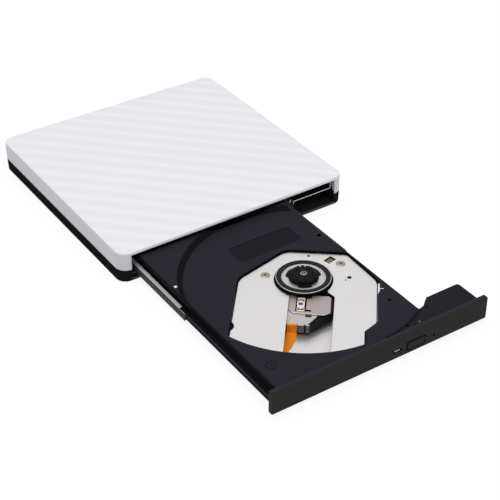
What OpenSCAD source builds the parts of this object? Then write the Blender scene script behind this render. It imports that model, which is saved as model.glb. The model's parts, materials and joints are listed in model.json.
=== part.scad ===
// External disc drive with its tray drawn out, in millimetres, +Z up, the front facing -Y.
// The origin is on the floor, under the middle of the whole object with the tray open.

/* [Case] */
// Room between the drive and a side wall
side_room = 4.8; // [4.6:0.1:8]
// Room behind the drive for the bridge board
rear_room = 10.2; // [9.8:0.1:16]
// Thickness of the foam between the drive and the cover
foam_t = 0.9; // [0.5:0.1:2]
// Height of the pads under the drive
pad_h = 0.4; // [0.3:0.1:1]
// Height of the seam between cover and base
seam_z = 7.7; // [7.3:0.1:11]
// Corner radius of the case seen from above
corner_r = 6.5; // [5:0.5:14]
// Rounding of the cover's top edge
cover_fillet = 1.2; // [0.4:0.1:1.8]
// Thickness of the cover's top plate
cover_t = 1.9; // [1.2:0.1:2.2]
// Thickness of the side walls
wall_t = 2.2; // [1.8:0.1:2.6]
// Thickness of the base floor
base_t = 1.2; // [1.1:0.1:1.6]
// Inset of the base at its lower edge
base_taper = 0.6; // [0:0.1:1.2]
// Gap on each side of the bezel in the front opening
opening_gap = 0.5; // [0.3:0.1:1]
// Height of the base over the floor
ground_gap = 1.2; // [0.8:0.1:1.6]
// Diameter of a rubber foot
foot_d = 9; // [6:0.5:14]
// Distance of a foot's centre from the sides of the case
foot_inset = 15; // [11:0.5:25]
// Depth of the pocket that holds a foot
foot_pocket = 0.4; // [0.2:0.1:0.6]
// Diameter of a screw boss
boss_d = 4.4; // [4:0.1:4.8]
// Shank diameter of a case screw
screw_d = 1.8; // [1.4:0.1:2]
// Head diameter of a case screw
screw_head_d = 3.4; // [2.8:0.1:3.6]
// Distance of a screw from the front and back of the case
screw_inset = 7; // [6:0.5:12]
// Gap between parts that are fitted and stay put
fit_gap = 0.2; // [0.1:0.05:0.25]

/* [Drive chassis] */
// Width of the inner drive and of its bezel
drive_w = 128; // [127:0.5:134]
// Depth of the inner drive behind the bezel
drive_d = 127; // [126:0.5:129]
// Height of the inner drive
drive_h = 12.7; // [12.5:0.1:14]
// Thickness of the chassis sheet
sheet_t = 0.5; // [0.4:0.1:0.7]
// Distance of the step, where the chassis rises to its wing, from the spindle
step_out = 37.6; // [37:0.1:42]
// Height of the raised wing
wing_h = 5.5; // [5:0.1:6]
// Thickness of the left plastic rail guide
guide_left_t = 1.7; // [1.4:0.1:2]
// Thickness of the right plastic rail guide
guide_right_t = 0.9; // [0.8:0.1:1.2]
// Running gap of the rails and the tray
slide_gap = 0.25; // [0.2:0.05:0.4]
// Room in front of the chassis for the closed bezel
front_gap = 0.4; // [0.2:0.1:1]

/* [Tray] */
// Travel of the tray from open to closed
tray_travel = 126.5; // [110:0.5:127]
// Room behind the closed tray
tray_rear_gap = 2; // [1:0.5:6]
// Thickness of the bezel
bezel_t = 2.6; // [2:0.1:3.2]
// Height of the bezel's lower edge over the drive's underside
bezel_lift = -0.2; // [-0.25:0.05:0.4]
// Thickness of the tray's moulded walls
tray_wall = 1.2; // [0.8:0.1:1.4]
// Thickness of the tray's floor
deck_t = 1; // [0.7:0.1:1.2]
// Room between the tray's rim and the chassis top
rim_gap = 1; // [0.6:0.1:1.5]
// Depth of the disc recess
recess_depth = 2.2; // [1.8:0.1:2.4]
// Radius of the recess floor, for a disc of 120 mm
recess_r = 61; // [60.5:0.1:61.5]
// Widening of the recess from floor to rim
recess_flare = 2.6; // [1.5:0.1:3]
// Width of the strip that runs in the left rail
strip_left_w = 2.8; // [2.4:0.1:3]
// Width of the strip that runs in the right rail
strip_right_w = 3.6; // [3.2:0.1:4]
// How far the rim overhangs the tray's left side
rim_over = 1.7; // [1:0.1:2]
// Thickness of the tray's bottom plate
bottom_t = 0.4; // [0.3:0.05:0.5]
// Height of the bottom plate over the chassis floor
bottom_gap = 0.4; // [0.3:0.05:0.6]
// Depth of the front right wing, from the bezel backwards
wing_d = 15.4; // [12:0.1:18]
// Width of the wing's slanted edge
wing_slant = 5.5; // [3:0.5:7]

/* [Rails] */
// Height of a rail
rail_h = 4.2; // [3.8:0.1:4.6]
// Sheet thickness of a rail
rail_t = 0.5; // [0.4:0.05:0.6]
// Width of a rail's flanges
rail_flange = 2.4; // [1.6:0.1:2.8]
// Length of a rail
rail_l = 110; // [95:1:118]
// How far a rail reaches out of the case with the tray open
rail_out = 47.6; // [40:0.2:52]
// Setback of the top flange from the front end of a rail
rail_nose = 6.5; // [3:0.5:10]
// Travel of a rail
rail_travel = 52; // [48:0.5:58]

/* [Spindle] */
// Distance of the spindle from the drive's left side
spindle_in = 65.4; // [64.6:0.1:66]
// Distance of the spindle behind the bezel's front
spindle_back = 67.45; // [66.5:0.05:68.5]
// Radius of the turntable
turntable_r = 14.3; // [13.5:0.1:14.6]
// Radius of the hub that centres a disc
hub_r = 7.35; // [7:0.05:7.45]
// Radius of the spindle shaft
shaft_r = 1.2; // [0.9:0.1:1.5]
// Radius of the spindle motor
motor_r = 11; // [9:0.1:11.4]
// Height of the disc seat over the recess floor
seat_rise = 0.9; // [0.7:0.1:1]

/* [Traverse] */
// Direction of the pickup's travel, counted from +X
slot_angle = 231.25; // [230:0.25:233]
// Radius of the floor opening's round front edge
opening_r = 59.7; // [58:0.1:60.4]
// Gap between the traverse cover and the tray
cover_gap = 0.8; // [0.5:0.1:1]
// Thickness of the traverse cover
plate_t = 0.5; // [0.3:0.05:0.6]
// Thickness of the traverse frame
frame_t = 1.5; // [1:0.1:1.8]
// Edge of the pickup slot on the rod side
slot_b0 = -6.3; // [-7:0.1:-5.8]
// Edge of the pickup slot on the far side
slot_b1 = 16.3; // [15.8:0.1:17]
// Radius of the turntable hole in the traverse cover
hole_r = 15.1; // [14.9:0.1:15.6]
// Radius of the guide rods
rod_r = 1.5; // [1.2:0.1:1.6]
// Pitch of the lead screw
screw_pitch = 3; // [2:0.5:4]
// Running clearance of shafts and rods
shaft_gap = 0.06; // [0.04:0.01:0.08]
// Radius at which the lens stands with the pickup innermost
lens_r0 = 19.5; // [19:0.1:22]
// Travel of the pickup
pickup_travel = 38; // [34:0.5:38]

/* [Button] */
// Width of the eject button
button_w = 10.8; // [9:0.1:13]
// Height of the eject button
button_h = 4.4; // [3.6:0.1:5]
// Sideways place of the eject button
button_x = 19.5; // [17:0.5:21]
// Height of the button's middle over the bezel's lower edge
button_up = 4.2; // [3.8:0.1:4.6]
// Gap around the eject button
button_gap = 0.4; // [0.2:0.05:0.4]
// Travel of the eject button
button_travel = 0.6; // [0.4:0.1:0.8]
// Width of the indicator slot
led_w = 5; // [4:0.1:5.5]
// Height of the indicator slot
led_h = 1.2; // [0.8:0.1:1.6]
// Sideways place of the indicator slot
led_x = 8.05; // [6:0.05:9]
// Diameter of the emergency pinhole
pin_d = 1.2; // [0.8:0.1:1.6]
// Sideways place of the emergency pinhole
pin_x = 30.5; // [29:0.5:33]

/* [Back] */
// Sideways place of the USB socket
usb_x = 30; // [-45:1:45]
// Width of the USB socket
usb_w = 12.3; // [8:0.1:13]
// Height of the USB socket
usb_h = 2.9; // [2.2:0.1:3]

/* [Hidden] */
$fn = 48;
eps = 0.01;
touch = 0.05;

// Case, made to fit round the drive
base_top = ground_gap + base_t;
drive_z = base_top + pad_h;
case_w = drive_w + 2 * (side_room + wall_t);
case_d = bezel_t + front_gap + drive_d + rear_room + wall_t;
case_h = drive_z + drive_h + foam_t + cover_t;

// Lengths along Y
total_d = case_d + tray_travel;
case_back = total_d / 2;
case_front = case_back - case_d;
bezel_front = -total_d / 2;
tray_front = bezel_front + bezel_t;
drive_front = case_front + bezel_t + front_gap;
drive_back = drive_front + drive_d;
tray_back = drive_back - sheet_t - tray_rear_gap - tray_travel;
rail_front = case_front - rail_out;
spindle_y = bezel_front + spindle_back;

// Heights
cover_under = case_h - cover_t;
pan_top = drive_z + sheet_t;
drive_top = drive_z + drive_h;
lid_under = drive_top - sheet_t;
wing_z = drive_top - wing_h;
bottom_z = pan_top + bottom_gap;
wall_z = bottom_z + bottom_t;
rail_z = pan_top + slide_gap;
strip_z0 = rail_z + rail_t + slide_gap;
strip_z1 = rail_z + rail_h - rail_t - slide_gap;
rim_z = lid_under - rim_gap;
floor_z = rim_z - recess_depth;
deck_z = floor_z - deck_t;
plate_z = deck_z - fit_gap;
plate_under = plate_z - plate_t;
frame_under = plate_under - frame_t;
pickup_top = plate_under - fit_gap;
rod_z = (wall_z + frame_under) / 2;
seat_z = floor_z + seat_rise;
pin_head_r = shaft_r + 0.6;
hub_turn = 60;
lobe_w = 6.8;
bezel_z = drive_z + bezel_lift;
bezel_h = drive_top - bezel_z;
button_z = bezel_z + button_up;

// Seam, screw heads and the bridge board behind the drive
seam_lap = 1.5;
band_h = 0.8;
screw_seat = ground_gap + 1;
screw_side = wall_t + boss_d / 2 - fit_gap;
corners = ["front_left", "front_right", "back_left", "back_right"];
sides = ["left", "right"];
connector_w = 22;
connector_h = 3.4;
connector_z = pan_top + fit_gap;
connector_front = drive_back - 2.2;
board_z = base_top + 0.5;
board_t = 1;
board_post = 22;
board_left = -connector_w / 2 - 19;
board_right = usb_x + 14;
main_board_d = 24;
main_board_t = 1;
usb_z = board_z + board_t;
board_front = drive_back + 2.2;
board_back = case_back - wall_t - fit_gap;
led_z = button_z;
light_tip = [led_w - 1.8, led_h / 2];
foam_w = 24;
foam_end = 25;
step_cut_d = 4;
step_tab_h = 1.4;

// Places along X
spindle_x = spindle_in - drive_w / 2;
wing_x = spindle_x + step_out;
pan_left = -drive_w / 2 + sheet_t;
step_in = wing_x - sheet_t;
rail_left = pan_left + guide_left_t + slide_gap;
rail_right = step_in - guide_right_t - slide_gap;
strip_left = rail_left + rail_t + slide_gap;
strip_right = rail_right - rail_t - slide_gap;
tray_left = strip_left + strip_left_w;
tray_right = strip_right - strip_right_w;
rim_left = tray_left - rim_over;

// Small forms of the tray's floor: moulded mark, bare sunk field, holes and the room beside the cover
strip_short = 1.8;
mark_spot = [tray_left + 7.3, tray_front + 17.4, 0];
mark_r = 3;
mark_w = 0.7;
field_w = 38;
field_d = 14;
field_back = 35;
sunk = 0.3;
side_hole_y = spindle_y + 26;
side_hole_w = 1.6;
floor_holes = [[tray_right - 3.2, side_hole_y, 1.2], [spindle_x + 24.4, spindle_y - 38.7, 0.9]];
leaf_room = [8.5, 1.5];
leaf_slit = [0.8, 3.4];

// Traverse outline: inner edge, two long sides and the corner cuts, along and across the slot
plate_in = -23;
plate_b0 = -32.4;
plate_b1 = 37;
nose_b = 31.6;
cut_in0 = [26.2, 21.6];
cut_in1 = [22.2, 16.1];
cut_nose = [32.4, 39.4];
plate_lap = 1.8;
rod_b0 = slot_b0 - rod_r - 0.8;
rod_b1 = slot_b1 + rod_r + 0.8;
lead_b = rod_b0 - rod_r - 3.4;
lead_r = 1.1;
stator_r = rod_b0 * -1 - rod_r - 0.4;
sled_motor_r = rod_z - wall_z - 0.15;
screw_spots = [[-1.8, -19.5], [-15, 18.2]];
damper_spots = concat(screw_spots, [[30, 30.5], [56, -20]]);
damper_names = concat(sides, ["front", "corner"]);
damper_r = 3;
plate_hole_r = 0.95;
lug_l = 3;
lug_in0 = 12.8;
lug_in1 = 5;
lug_out1 = 60.5;
lead_in = 6;
lead_out = 60;
sled_motor_l = 10;

// Pickup sizes along the slot, counted from the spindle
pickup_in = lens_r0 - 7.3;
pickup_a1 = lens_r0 + 7.9;
pickup_a2 = lens_r0 + 15.6;
plug_t = 1;
sleeve_a = pickup_in + 5;
fork_l = 6;
lug_out0 = pickup_a2 + pickup_travel - 0.5;
lens_win_a = [lens_r0 - 6.2, lens_r0 + 6];
lens_win_b = 2.6;
body_b0 = slot_b0 + 0.5;
body_b1 = slot_b1 - 0.6;
flex_w = 4.8;

// Wing, latch and button places
wing_b = drive_w / 2 - 3.7;
wing_a = wing_x + 1;
latch_x = tray_right - 3.5;
latch_y = tray_front + 11;
latch_z = deck_z - 1.9;
latch_t = 1.4;
pin_r = 0.8;
catch_x = rail_right + fit_gap;
catch_y = drive_front + 2;
catch_len = 2.5;
guide_front = catch_y + catch_len + 0.5;
button_y = bezel_front - 0.1;
switch_d = 3;

module rounded(w, d, r) {
    square([w - 2 * r, d], center = true);
    square([w, d - 2 * r], center = true);
    for (x = [-1, 1], y = [-1, 1])
        translate([x * (w / 2 - r), y * (d / 2 - r)]) circle(r);
}

module on_case() translate([0, case_back - case_d / 2, 0]) children();

module on_traverse() translate([spindle_x, spindle_y, 0]) rotate(slot_angle) children();

module box(x0, x1, y0, y1, z0, z1) translate([x0, y0, z0]) cube([x1 - x0, y1 - y0, z1 - z0]);

module slab(z0, z1) translate([0, 0, z0]) linear_extrude(z1 - z0) children();

// Rod along the slot direction
module rod(a0, a1, b, z, r) translate([a0, b, z]) rotate([0, 90, 0]) cylinder(r = r, h = a1 - a0);

// Place of corner i, set in from the case's sides and from its front and back
function corner_spot(i, side, end) = [(i % 2 * 2 - 1) * (case_w / 2 - side),
    i < 2 ? case_front + end : case_back - end, 0];

module at_screw(i) translate(corner_spot(i, screw_side, screw_inset)) children();

module at_foot(i) translate(corner_spot(i, foot_inset, foot_inset)) children();

module at_screws() {
    for (i = [0:3])
        at_screw(i) children();
}

module front_opening(z0, z1) {
    w = drive_w / 2 + opening_gap;
    box(-w, w, case_front - 1, case_front + corner_r + 1, z0, z1);
}

module top_cover() color("whitesmoke") {
    difference() {
        union() {
            on_case() difference() {
                hull() {
                    slab(seam_z, case_h - cover_fillet) rounded(case_w, case_d, corner_r);
                    slab(case_h - cover_fillet * 0.3, case_h - cover_fillet * 0.29)
                        rounded(case_w - 0.59 * cover_fillet, case_d - 0.59 * cover_fillet,
                            corner_r - 0.295 * cover_fillet);
                    slab(case_h - eps, case_h)
                        rounded(case_w - 2 * cover_fillet, case_d - 2 * cover_fillet,
                            corner_r - cover_fillet);
                }
                slab(seam_z - 1, cover_under)
                    rounded(case_w - 2 * wall_t, case_d - 2 * wall_t, corner_r - wall_t);
                slab(seam_z - 1, seam_z + seam_lap + fit_gap)
                    rounded(case_w - wall_t + fit_gap, case_d - wall_t + fit_gap, corner_r - wall_t / 2);
            }
            at_screws() slab(seam_z + seam_lap + fit_gap, cover_under + eps) circle(d = boss_d);
        }
        front_opening(seam_z - 1, cover_under);
        at_screws() slab(seam_z, cover_under - 1) circle(d = screw_d + 0.1);
    }
}

module base_shell() color([0.07, 0.07, 0.08]) {
    inner_w = case_w - 2 * wall_t;
    difference() {
        union() {
            on_case() difference() {
                union() {
                    hull() {
                        slab(ground_gap, ground_gap + eps)
                            rounded(case_w - 2 * base_taper, case_d - 2 * base_taper, corner_r - base_taper);
                        slab(seam_z - band_h, seam_z - touch) rounded(case_w, case_d, corner_r);
                    }
                    slab(seam_z - 1, seam_z + seam_lap)
                        rounded(case_w - wall_t, case_d - wall_t, corner_r - wall_t / 2);
                }
                slab(base_top, case_h) rounded(inner_w, case_d - 2 * wall_t, corner_r - wall_t);
            }
            at_screws() slab(base_top - eps, seam_z + seam_lap) circle(d = boss_d);
            // pads that carry the drive chassis, and the stop behind it
            for (x = [-drive_w / 2 + 10, wing_x - 12], y = [drive_front + 12, drive_back - 12])
                translate([x, y, 0]) slab(base_top - eps, drive_z) rounded(14, 10, 2);
            for (x = [-drive_w / 2 + 8, wing_x - 8])
                box(x - 3, x + 3, drive_back + sheet_t + fit_gap, board_front - fit_gap,
                    base_top - eps, seam_z);
            for (x = [-1, 1])
                box(x * board_post - 2, x * board_post + 2, board_front + 0.8, board_front + 4.8,
                    base_top - eps, board_z);
        }
        front_opening(base_top, case_h);
        at_screws() {
            slab(0, case_h) circle(d = screw_d + 2 * fit_gap);
            slab(0, screw_seat) circle(d = screw_head_d + 2 * fit_gap);
        }
        for (i = [0:3])
            at_foot(i) slab(0, ground_gap + foot_pocket) circle(d = foot_d + fit_gap);
        translate([usb_x, case_back - wall_t / 2, usb_z + usb_h / 2]) rotate([90, 0, 0])
            slab(-wall_t * 2, wall_t * 2) rounded(usb_w + 2 * fit_gap, usb_h + 2 * fit_gap, 0.6);
    }
}

module rubber_foot(i) color([0.16, 0.16, 0.17]) at_foot(i) {
    rotate_extrude() polygon([[0, 0], [foot_d / 2 - 0.5, 0], [foot_d / 2, 0.4],
        [foot_d / 2, ground_gap + foot_pocket], [0, ground_gap + foot_pocket]]);
}

module case_screw(i) color("dimgray") at_screw(i) difference() {
    union() {
        slab(ground_gap + 0.3, screw_seat) circle(d = screw_head_d);
        slab(screw_seat - eps, cover_under - 3) circle(d = screw_d);
    }
    for (turn = [0, 90])
        rotate(turn) box(-0.9, 0.9, -0.2, 0.2, ground_gap, ground_gap + 0.7);
}

// Strip of foam between the drive and the cover, 0 left and 1 right
module foam_pad(side) color([0.2, 0.2, 0.21]) {
    x = (side - 0.5) * drive_w / 2;
    box(x - foam_w / 2, x + foam_w / 2, drive_front + foam_end, drive_back - foam_end,
        drive_top, cover_under);
}

// Section of the stepped chassis pan, seen from the front
module pan_section() {
    left = -drive_w / 2;
    right = drive_w / 2;
    polygon([[left, drive_z], [wing_x, drive_z], [wing_x, wing_z], [right, wing_z],
        [right, lid_under], [right - sheet_t, lid_under], [right - sheet_t, wing_z + sheet_t],
        [step_in, wing_z + sheet_t], [step_in, pan_top], [pan_left, pan_top],
        [pan_left, lid_under], [left, lid_under]]);
}

module chassis_pan() color("silver") difference() {
    union() {
        translate([0, drive_back, 0]) rotate([90, 0, 0]) linear_extrude(drive_d) pan_section();
        translate([0, drive_back, 0]) rotate([90, 0, 0]) linear_extrude(sheet_t)
            polygon([[-drive_w / 2, drive_z], [wing_x, drive_z], [wing_x, wing_z],
                [drive_w / 2, wing_z], [drive_w / 2, lid_under], [-drive_w / 2, lid_under]]);
        // catch that the latch lever grips when the tray is closed
        box(catch_x, step_in + eps, catch_y, catch_y + catch_len,
            latch_z - fit_gap, latch_z + latch_t + fit_gap);
    }
    box(-connector_w / 2 - fit_gap, connector_w / 2 + fit_gap, drive_back - 2, drive_back + 1,
        pan_top, connector_z + connector_h + fit_gap);
    // step wall set back at the front, under a small tab
    box(step_in - touch, wing_x + touch, drive_front - 1, drive_front + step_cut_d,
        pan_top, wing_z - step_tab_h);
    // left wall set back as far
    box(-drive_w / 2 - 1, pan_left + touch, drive_front - 1, drive_front + step_cut_d, pan_top, drive_top);
    // pressed ventilation slots along the left wall
    for (y = [drive_front + 30:22:drive_back - 25])
        translate([-drive_w / 2 - 1, y, lid_under - 3]) cube([3, 12, 1.2]);
}

module chassis_lid() color("gainsboro") {
    ring_r = recess_r - 3;
    difference() {
        union() {
            box(-drive_w / 2, drive_w / 2, drive_front, drive_back, lid_under, drive_top);
            box(-drive_w / 2 + 6, drive_w / 2 - 6, drive_back, drive_back + sheet_t,
                lid_under - 2.5, drive_top);
        }
        // pressed ring over the closed disc
        translate([spindle_x, spindle_y + tray_travel, 0]) slab(drive_top - 0.15, drive_top + 1)
            difference() {
                circle(ring_r);
                circle(ring_r - 2);
            }
    }
}

// Plastic guide with a lip over the rail, for one side
module rail_guide(x, side, t) color("ivory") {
    back = drive_back - 20;
    lip_z = rail_z + rail_h + slide_gap;
    lip_t = 0.6;
    lip = t + slide_gap + rail_t;
    box(min(x, x + side * t), max(x, x + side * t), guide_front, back,
        pan_top, lip_z + lip_t);
    box(min(x, x + side * lip), max(x, x + side * lip), guide_front, back, lip_z, lip_z + lip_t);
}

module bridge_board() color("darkgreen") difference() {
    box(board_left, board_right, board_front, board_back, board_z, board_z + board_t);
    for (x = [-1, 1])
        translate([x * board_post, board_front + 2.8, 0]) slab(0, case_h) circle(r = 0.7);
}

module bridge_chips() color([0.09, 0.09, 0.1]) {
    box(-4, 3, board_front + 1.4, board_back - 1, usb_z, usb_z + 0.9);
    box(8, 12, board_front + 2, board_back - 2.4, usb_z, usb_z + 0.7);
    box(-16, -12, board_front + 2, board_back - 2.8, usb_z, usb_z + 1.1);
}

module usb_socket() color("silver") {
    translate([usb_x, case_back - 0.3, usb_z + usb_h / 2]) rotate([90, 0, 0]) difference() {
        slab(0, 5.6) rounded(usb_w, usb_h, 0.5);
        slab(-1, 5) rounded(usb_w - 0.6, usb_h - 0.6, 0.3);
    }
}

module drive_connector() color([0.1, 0.1, 0.11]) {
    box(-connector_w / 2, connector_w / 2, connector_front, board_front - fit_gap,
        connector_z, connector_z + connector_h);
    box(-connector_w / 2 + 1, connector_w / 2 - 1, board_front - fit_gap - eps, board_front + 1.2,
        usb_z, connector_z + connector_h - 0.4);
}

module tray_ribbon() color("lightgray")
    box(-connector_w / 2 + 2, connector_w / 2 - 2, tray_back - 6, drive_back - 0.6,
        pan_top + touch, connector_z);

// Channel rail: web outside, flanges towards the tray, the top flange set back from the nose
module rail(x, side) color("silver") {
    y1 = rail_front + rail_l;
    x1 = x + side * rail_t;
    xf = x + side * rail_flange;
    translate([min(x, x1), rail_front, rail_z]) rotate([0, 90, 0]) slab(0, rail_t)
        difference() {
            mirror([1, 0]) square([rail_h, rail_l]);
            for (z = [0, rail_h])
                translate([-z, 0]) rotate(45) square(1.2, center = true);
        }
    box(min(x, xf), max(x, xf), rail_front + 1.5, y1, rail_z, rail_z + rail_t);
    box(min(x, xf), max(x, xf), rail_front + rail_nose, y1, rail_z + rail_h - rail_t, rail_z + rail_h);
}

module left_rail() rail(rail_left, 1);

module right_rail() rail(rail_right, -1);

// Outline of the traverse cover, widened by g and running outwards to a1
module traverse_outline(g, a1) {
    polygon([[plate_in - g, plate_b0 + cut_in0[1] - g / 2], [plate_in - g, plate_b1 - cut_in1[1] + g / 2],
        [plate_in + cut_in1[0] - g / 2, plate_b1 + g], [cut_nose[0] + g / 2, plate_b1 + g],
        [cut_nose[1] + g / 2, nose_b + g], [a1, nose_b + g],
        [a1, plate_b0 - g], [plate_in + cut_in0[0] - g / 2, plate_b0 - g]]);
}

module recess() {
    translate([spindle_x, spindle_y, floor_z])
        cylinder(r1 = recess_r, r2 = recess_r + recess_flare, h = recess_depth, $fn = 128);
    translate([spindle_x, spindle_y, rim_z - eps])
        cylinder(r = recess_r + recess_flare, h = 4, $fn = 128);
}

module wing_plate() {
    y1 = tray_front + wing_d;
    slab(deck_z + 0.4, rim_z) difference() {
        polygon([[tray_right - 2, tray_front], [wing_b, tray_front], [wing_b, y1 - 1], [wing_b - 1, y1],
            [wing_a, y1], [wing_a - wing_slant, y1 - wing_slant * 0.8],
            [tray_right - 2, y1 - wing_slant * 0.8 - 1]]);
        hull() {
            for (spot = [[0.1, 0.3], [1, -2.2]])
                translate([wing_a - wing_slant + spot[0], y1 - wing_slant * 0.8 + spot[1]]) circle(r = 0.3);
        }
    }
}

module tray_frame() color([0.12, 0.12, 0.14]) difference() {
    union() {
        // floor, rims and side walls
        box(tray_left, tray_right, tray_front, tray_back, deck_z, floor_z);
        difference() {
            union() {
                box(rim_left, tray_right, spindle_y + 9, tray_back, floor_z - 1.2, rim_z);
                box(spindle_x + 4, tray_right, tray_front, spindle_y - 45, floor_z - eps, rim_z);
            }
            recess();
            box(rim_left - 1, tray_left, spindle_y, tray_back + 1, floor_z - 2, floor_z);
        }
        wing_plate();
        box(tray_left, tray_left + tray_wall, tray_front, tray_back, wall_z, floor_z);
        box(tray_right - tray_wall, tray_right, tray_front, tray_back, wall_z, floor_z);
        box(tray_left, tray_right, tray_back - tray_wall, tray_back, wall_z, floor_z);
        box(tray_left, tray_right, tray_front, tray_front + tray_wall, wall_z, floor_z);
        // strips that run in the rails
        box(strip_left, tray_left + eps, tray_front + strip_short, tray_back, strip_z0, strip_z1);
        box(tray_right - eps, strip_right, tray_front + wing_d - 2, tray_back, strip_z0, strip_z1);
        // ribs under the floor at the rear
        for (x = [tray_left + 22, tray_left + 52])
            box(x, x + 0.8, tray_back - 16, tray_back - tray_wall + eps, wall_z + 3, deck_z + eps);
    }
    on_traverse() slab(deck_z - 1, floor_z + 1) {
        intersection() {
            traverse_outline(cover_gap, 80);
            circle(opening_r, $fn = 128);
        }
        // room and slit beside the far edge of the cover
        translate([0.6, plate_b1]) square(leaf_room);
        translate([5.5, plate_b1]) square(leaf_slit);
    }
    // groove of the moulding by the front left corner
    translate(mark_spot) slab(floor_z - sunk, floor_z + 1) {
        difference() {
            circle(r = mark_r);
            circle(r = mark_r - mark_w);
        }
        circle(r = mark_w);
    }
    // bare sunk field, and the small holes of the floor
    translate([spindle_x, spindle_y + field_back, 0]) slab(floor_z - sunk, floor_z + 1)
        rounded(field_w, field_d, 2);
    for (spot = floor_holes)
        translate([spot[0], spot[1], 0]) slab(deck_z - 1, rim_z) circle(r = spot[2]);
    box(tray_left - 0.45, tray_left - 0.45 + side_hole_w, side_hole_y, side_hole_y + side_hole_w,
        floor_z - 3, rim_z + 1);
    translate([spindle_x + 17, tray_front + 3.8, 0]) slab(deck_z - 1, rim_z + 1) rounded(1.3, 2.6, 0.6);
    // rooms for the button, the light pipe and the pinhole in the front wall
    box(button_x - button_w / 2 - 1.5, button_x + button_w / 2 + 1.5,
        tray_front - 1, tray_front + tray_wall + 1, button_z - button_h / 2 - 1, button_z + button_h / 2 + 1);
    box(led_x - led_w / 2 - 0.2, led_x + led_w / 2 + 0.2, tray_front - 1, tray_front + tray_wall + 1,
        led_z - led_h / 2 - 0.2, led_z + led_h / 2 + 0.2);
    translate([pin_x, tray_front + 3, button_z]) rotate([90, 0, 0]) cylinder(d = pin_d + 0.4, h = 4);
    // passage of the latch lever through the right wall
    box(tray_right - tray_wall - 1, tray_right + 1, latch_y - 9, latch_y + 2,
        latch_z - 0.5, latch_z + latch_t + 0.5);
}

// Face-on outline of a piece in the bezel
module facing(x, z, y0, y1) translate([x, y1, z]) rotate([90, 0, 0]) slab(0, y1 - y0) children();

module front_bezel() color([0.13, 0.13, 0.14]) difference() {
    facing(0, bezel_z + bezel_h / 2, bezel_front, tray_front) rounded(drive_w, bezel_h, 0.7);
    translate([0, bezel_front, drive_top]) rotate([45, 0, 0]) cube([drive_w + 2, 0.9, 0.9], center = true);
    facing(button_x, button_z, bezel_front - 1, tray_front + 1)
        rounded(button_w + 2 * button_gap, button_h + 2 * button_gap, 1);
    facing(led_x, led_z, bezel_front - 1, tray_front + 1) rounded(led_w + 0.2, led_h + 0.2, 0.3);
    translate([pin_x, tray_front + 1, button_z]) rotate([90, 0, 0]) cylinder(d = pin_d, h = bezel_t + 2);
}

module eject_button() color([0.15, 0.15, 0.16]) {
    flange = tray_front + 0.1;
    facing(button_x, button_z, button_y, flange + 0.1) rounded(button_w, button_h, 0.8);
    facing(button_x, button_z, flange, flange + 0.7) rounded(button_w + 1.6, button_h + 0.8, 0.8);
    facing(button_x, button_z, flange + 0.6, flange + 1.6) rounded(3, 2, 0.5);
}

module eject_switch() color([0.25, 0.25, 0.27]) {
    y0 = tray_front + 1.7 + button_travel + 0.3;
    box(button_x - 3, button_x + 3, y0, y0 + switch_d, wall_z, button_z + 1.6);
}

module light_pipe() color([0.9, 0.95, 1, 0.8]) {
    shoulder = bezel_front + 1.2;
    facing(led_x, led_z, shoulder, tray_front + tray_wall + 2) rounded(led_w, led_h, 0.25);
    // tip that shows in the upper half of the slot
    facing(led_x, led_z + led_h / 4, bezel_front + 0.2, shoulder + eps) rounded(light_tip[0], light_tip[1], 0.2);
}

module tray_bottom() color("lightgray") difference() {
    box(tray_left, tray_right, tray_front + 0.5, tray_back - 0.5, bottom_z, wall_z);
    for (y = [tray_front + 12, tray_back - 12], x = [tray_left + 8, tray_right - 8])
        translate([x, y, 0]) slab(0, wall_z + 1) circle(r = 1.2);
}

module main_board() color("darkgreen") {
    y1 = tray_back - tray_wall - 2;
    box(tray_left + tray_wall + 2, tray_right - tray_wall - 6, y1 - main_board_d, y1,
        wall_z, wall_z + main_board_t);
}

module board_chips() color([0.09, 0.09, 0.1]) {
    for (spot = [[16, 12, 14], [38, 14, 10], [58, 10, 8]])
        box(tray_left + spot[0], tray_left + spot[0] + spot[1], tray_back - 8 - spot[2], tray_back - 8,
            wall_z + main_board_t, wall_z + main_board_t + 1.1);
}

module latch_magnet() color([0.55, 0.35, 0.2]) {
    box(latch_x - 11, latch_x - 3, latch_y + 3, latch_y + 12, wall_z, deck_z - 0.4);
}

module latch_pin() color("silver")
    translate([latch_x, latch_y, 0]) slab(wall_z, deck_z - fit_gap) circle(r = pin_r);

// Lever swung clear of the catch; it turns towards +X to grip
module latch_lever() color("gold") {
    reach = catch_x - latch_x - 0.7;
    translate([latch_x, latch_y, 0]) slab(latch_z, latch_z + latch_t) difference() {
        union() {
            circle(r = 2);
            polygon([[-1.2, -1.6], [1.6, -1.2], [reach, -5.4], [reach, -7], [reach - 2.4, -7], [0, -2]]);
            polygon([[-1.6, -1.2], [-4, 2.2], [-2.4, 3], [1.2, 1.6]]);
        }
        circle(r = pin_r + shaft_gap);
    }
}

// Window of the traverse frame, as long as the pickup's way
module frame_window() {
    a1 = pickup_a2 + plug_t + pickup_travel + 0.8;
    polygon([[0, slot_b0 - 0.7], [a1, slot_b0 - 0.7], [a1, 7.2], [a1 - 9, slot_b1 + 0.9], [0, slot_b1 + 0.9]]);
}

module inside_tray(gap) {
    x0 = tray_left + tray_wall + gap;
    y0 = tray_front + tray_wall + gap;
    translate([x0, y0]) square([tray_right - tray_wall - gap - x0, tray_back - tray_wall - gap - y0]);
}

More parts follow.
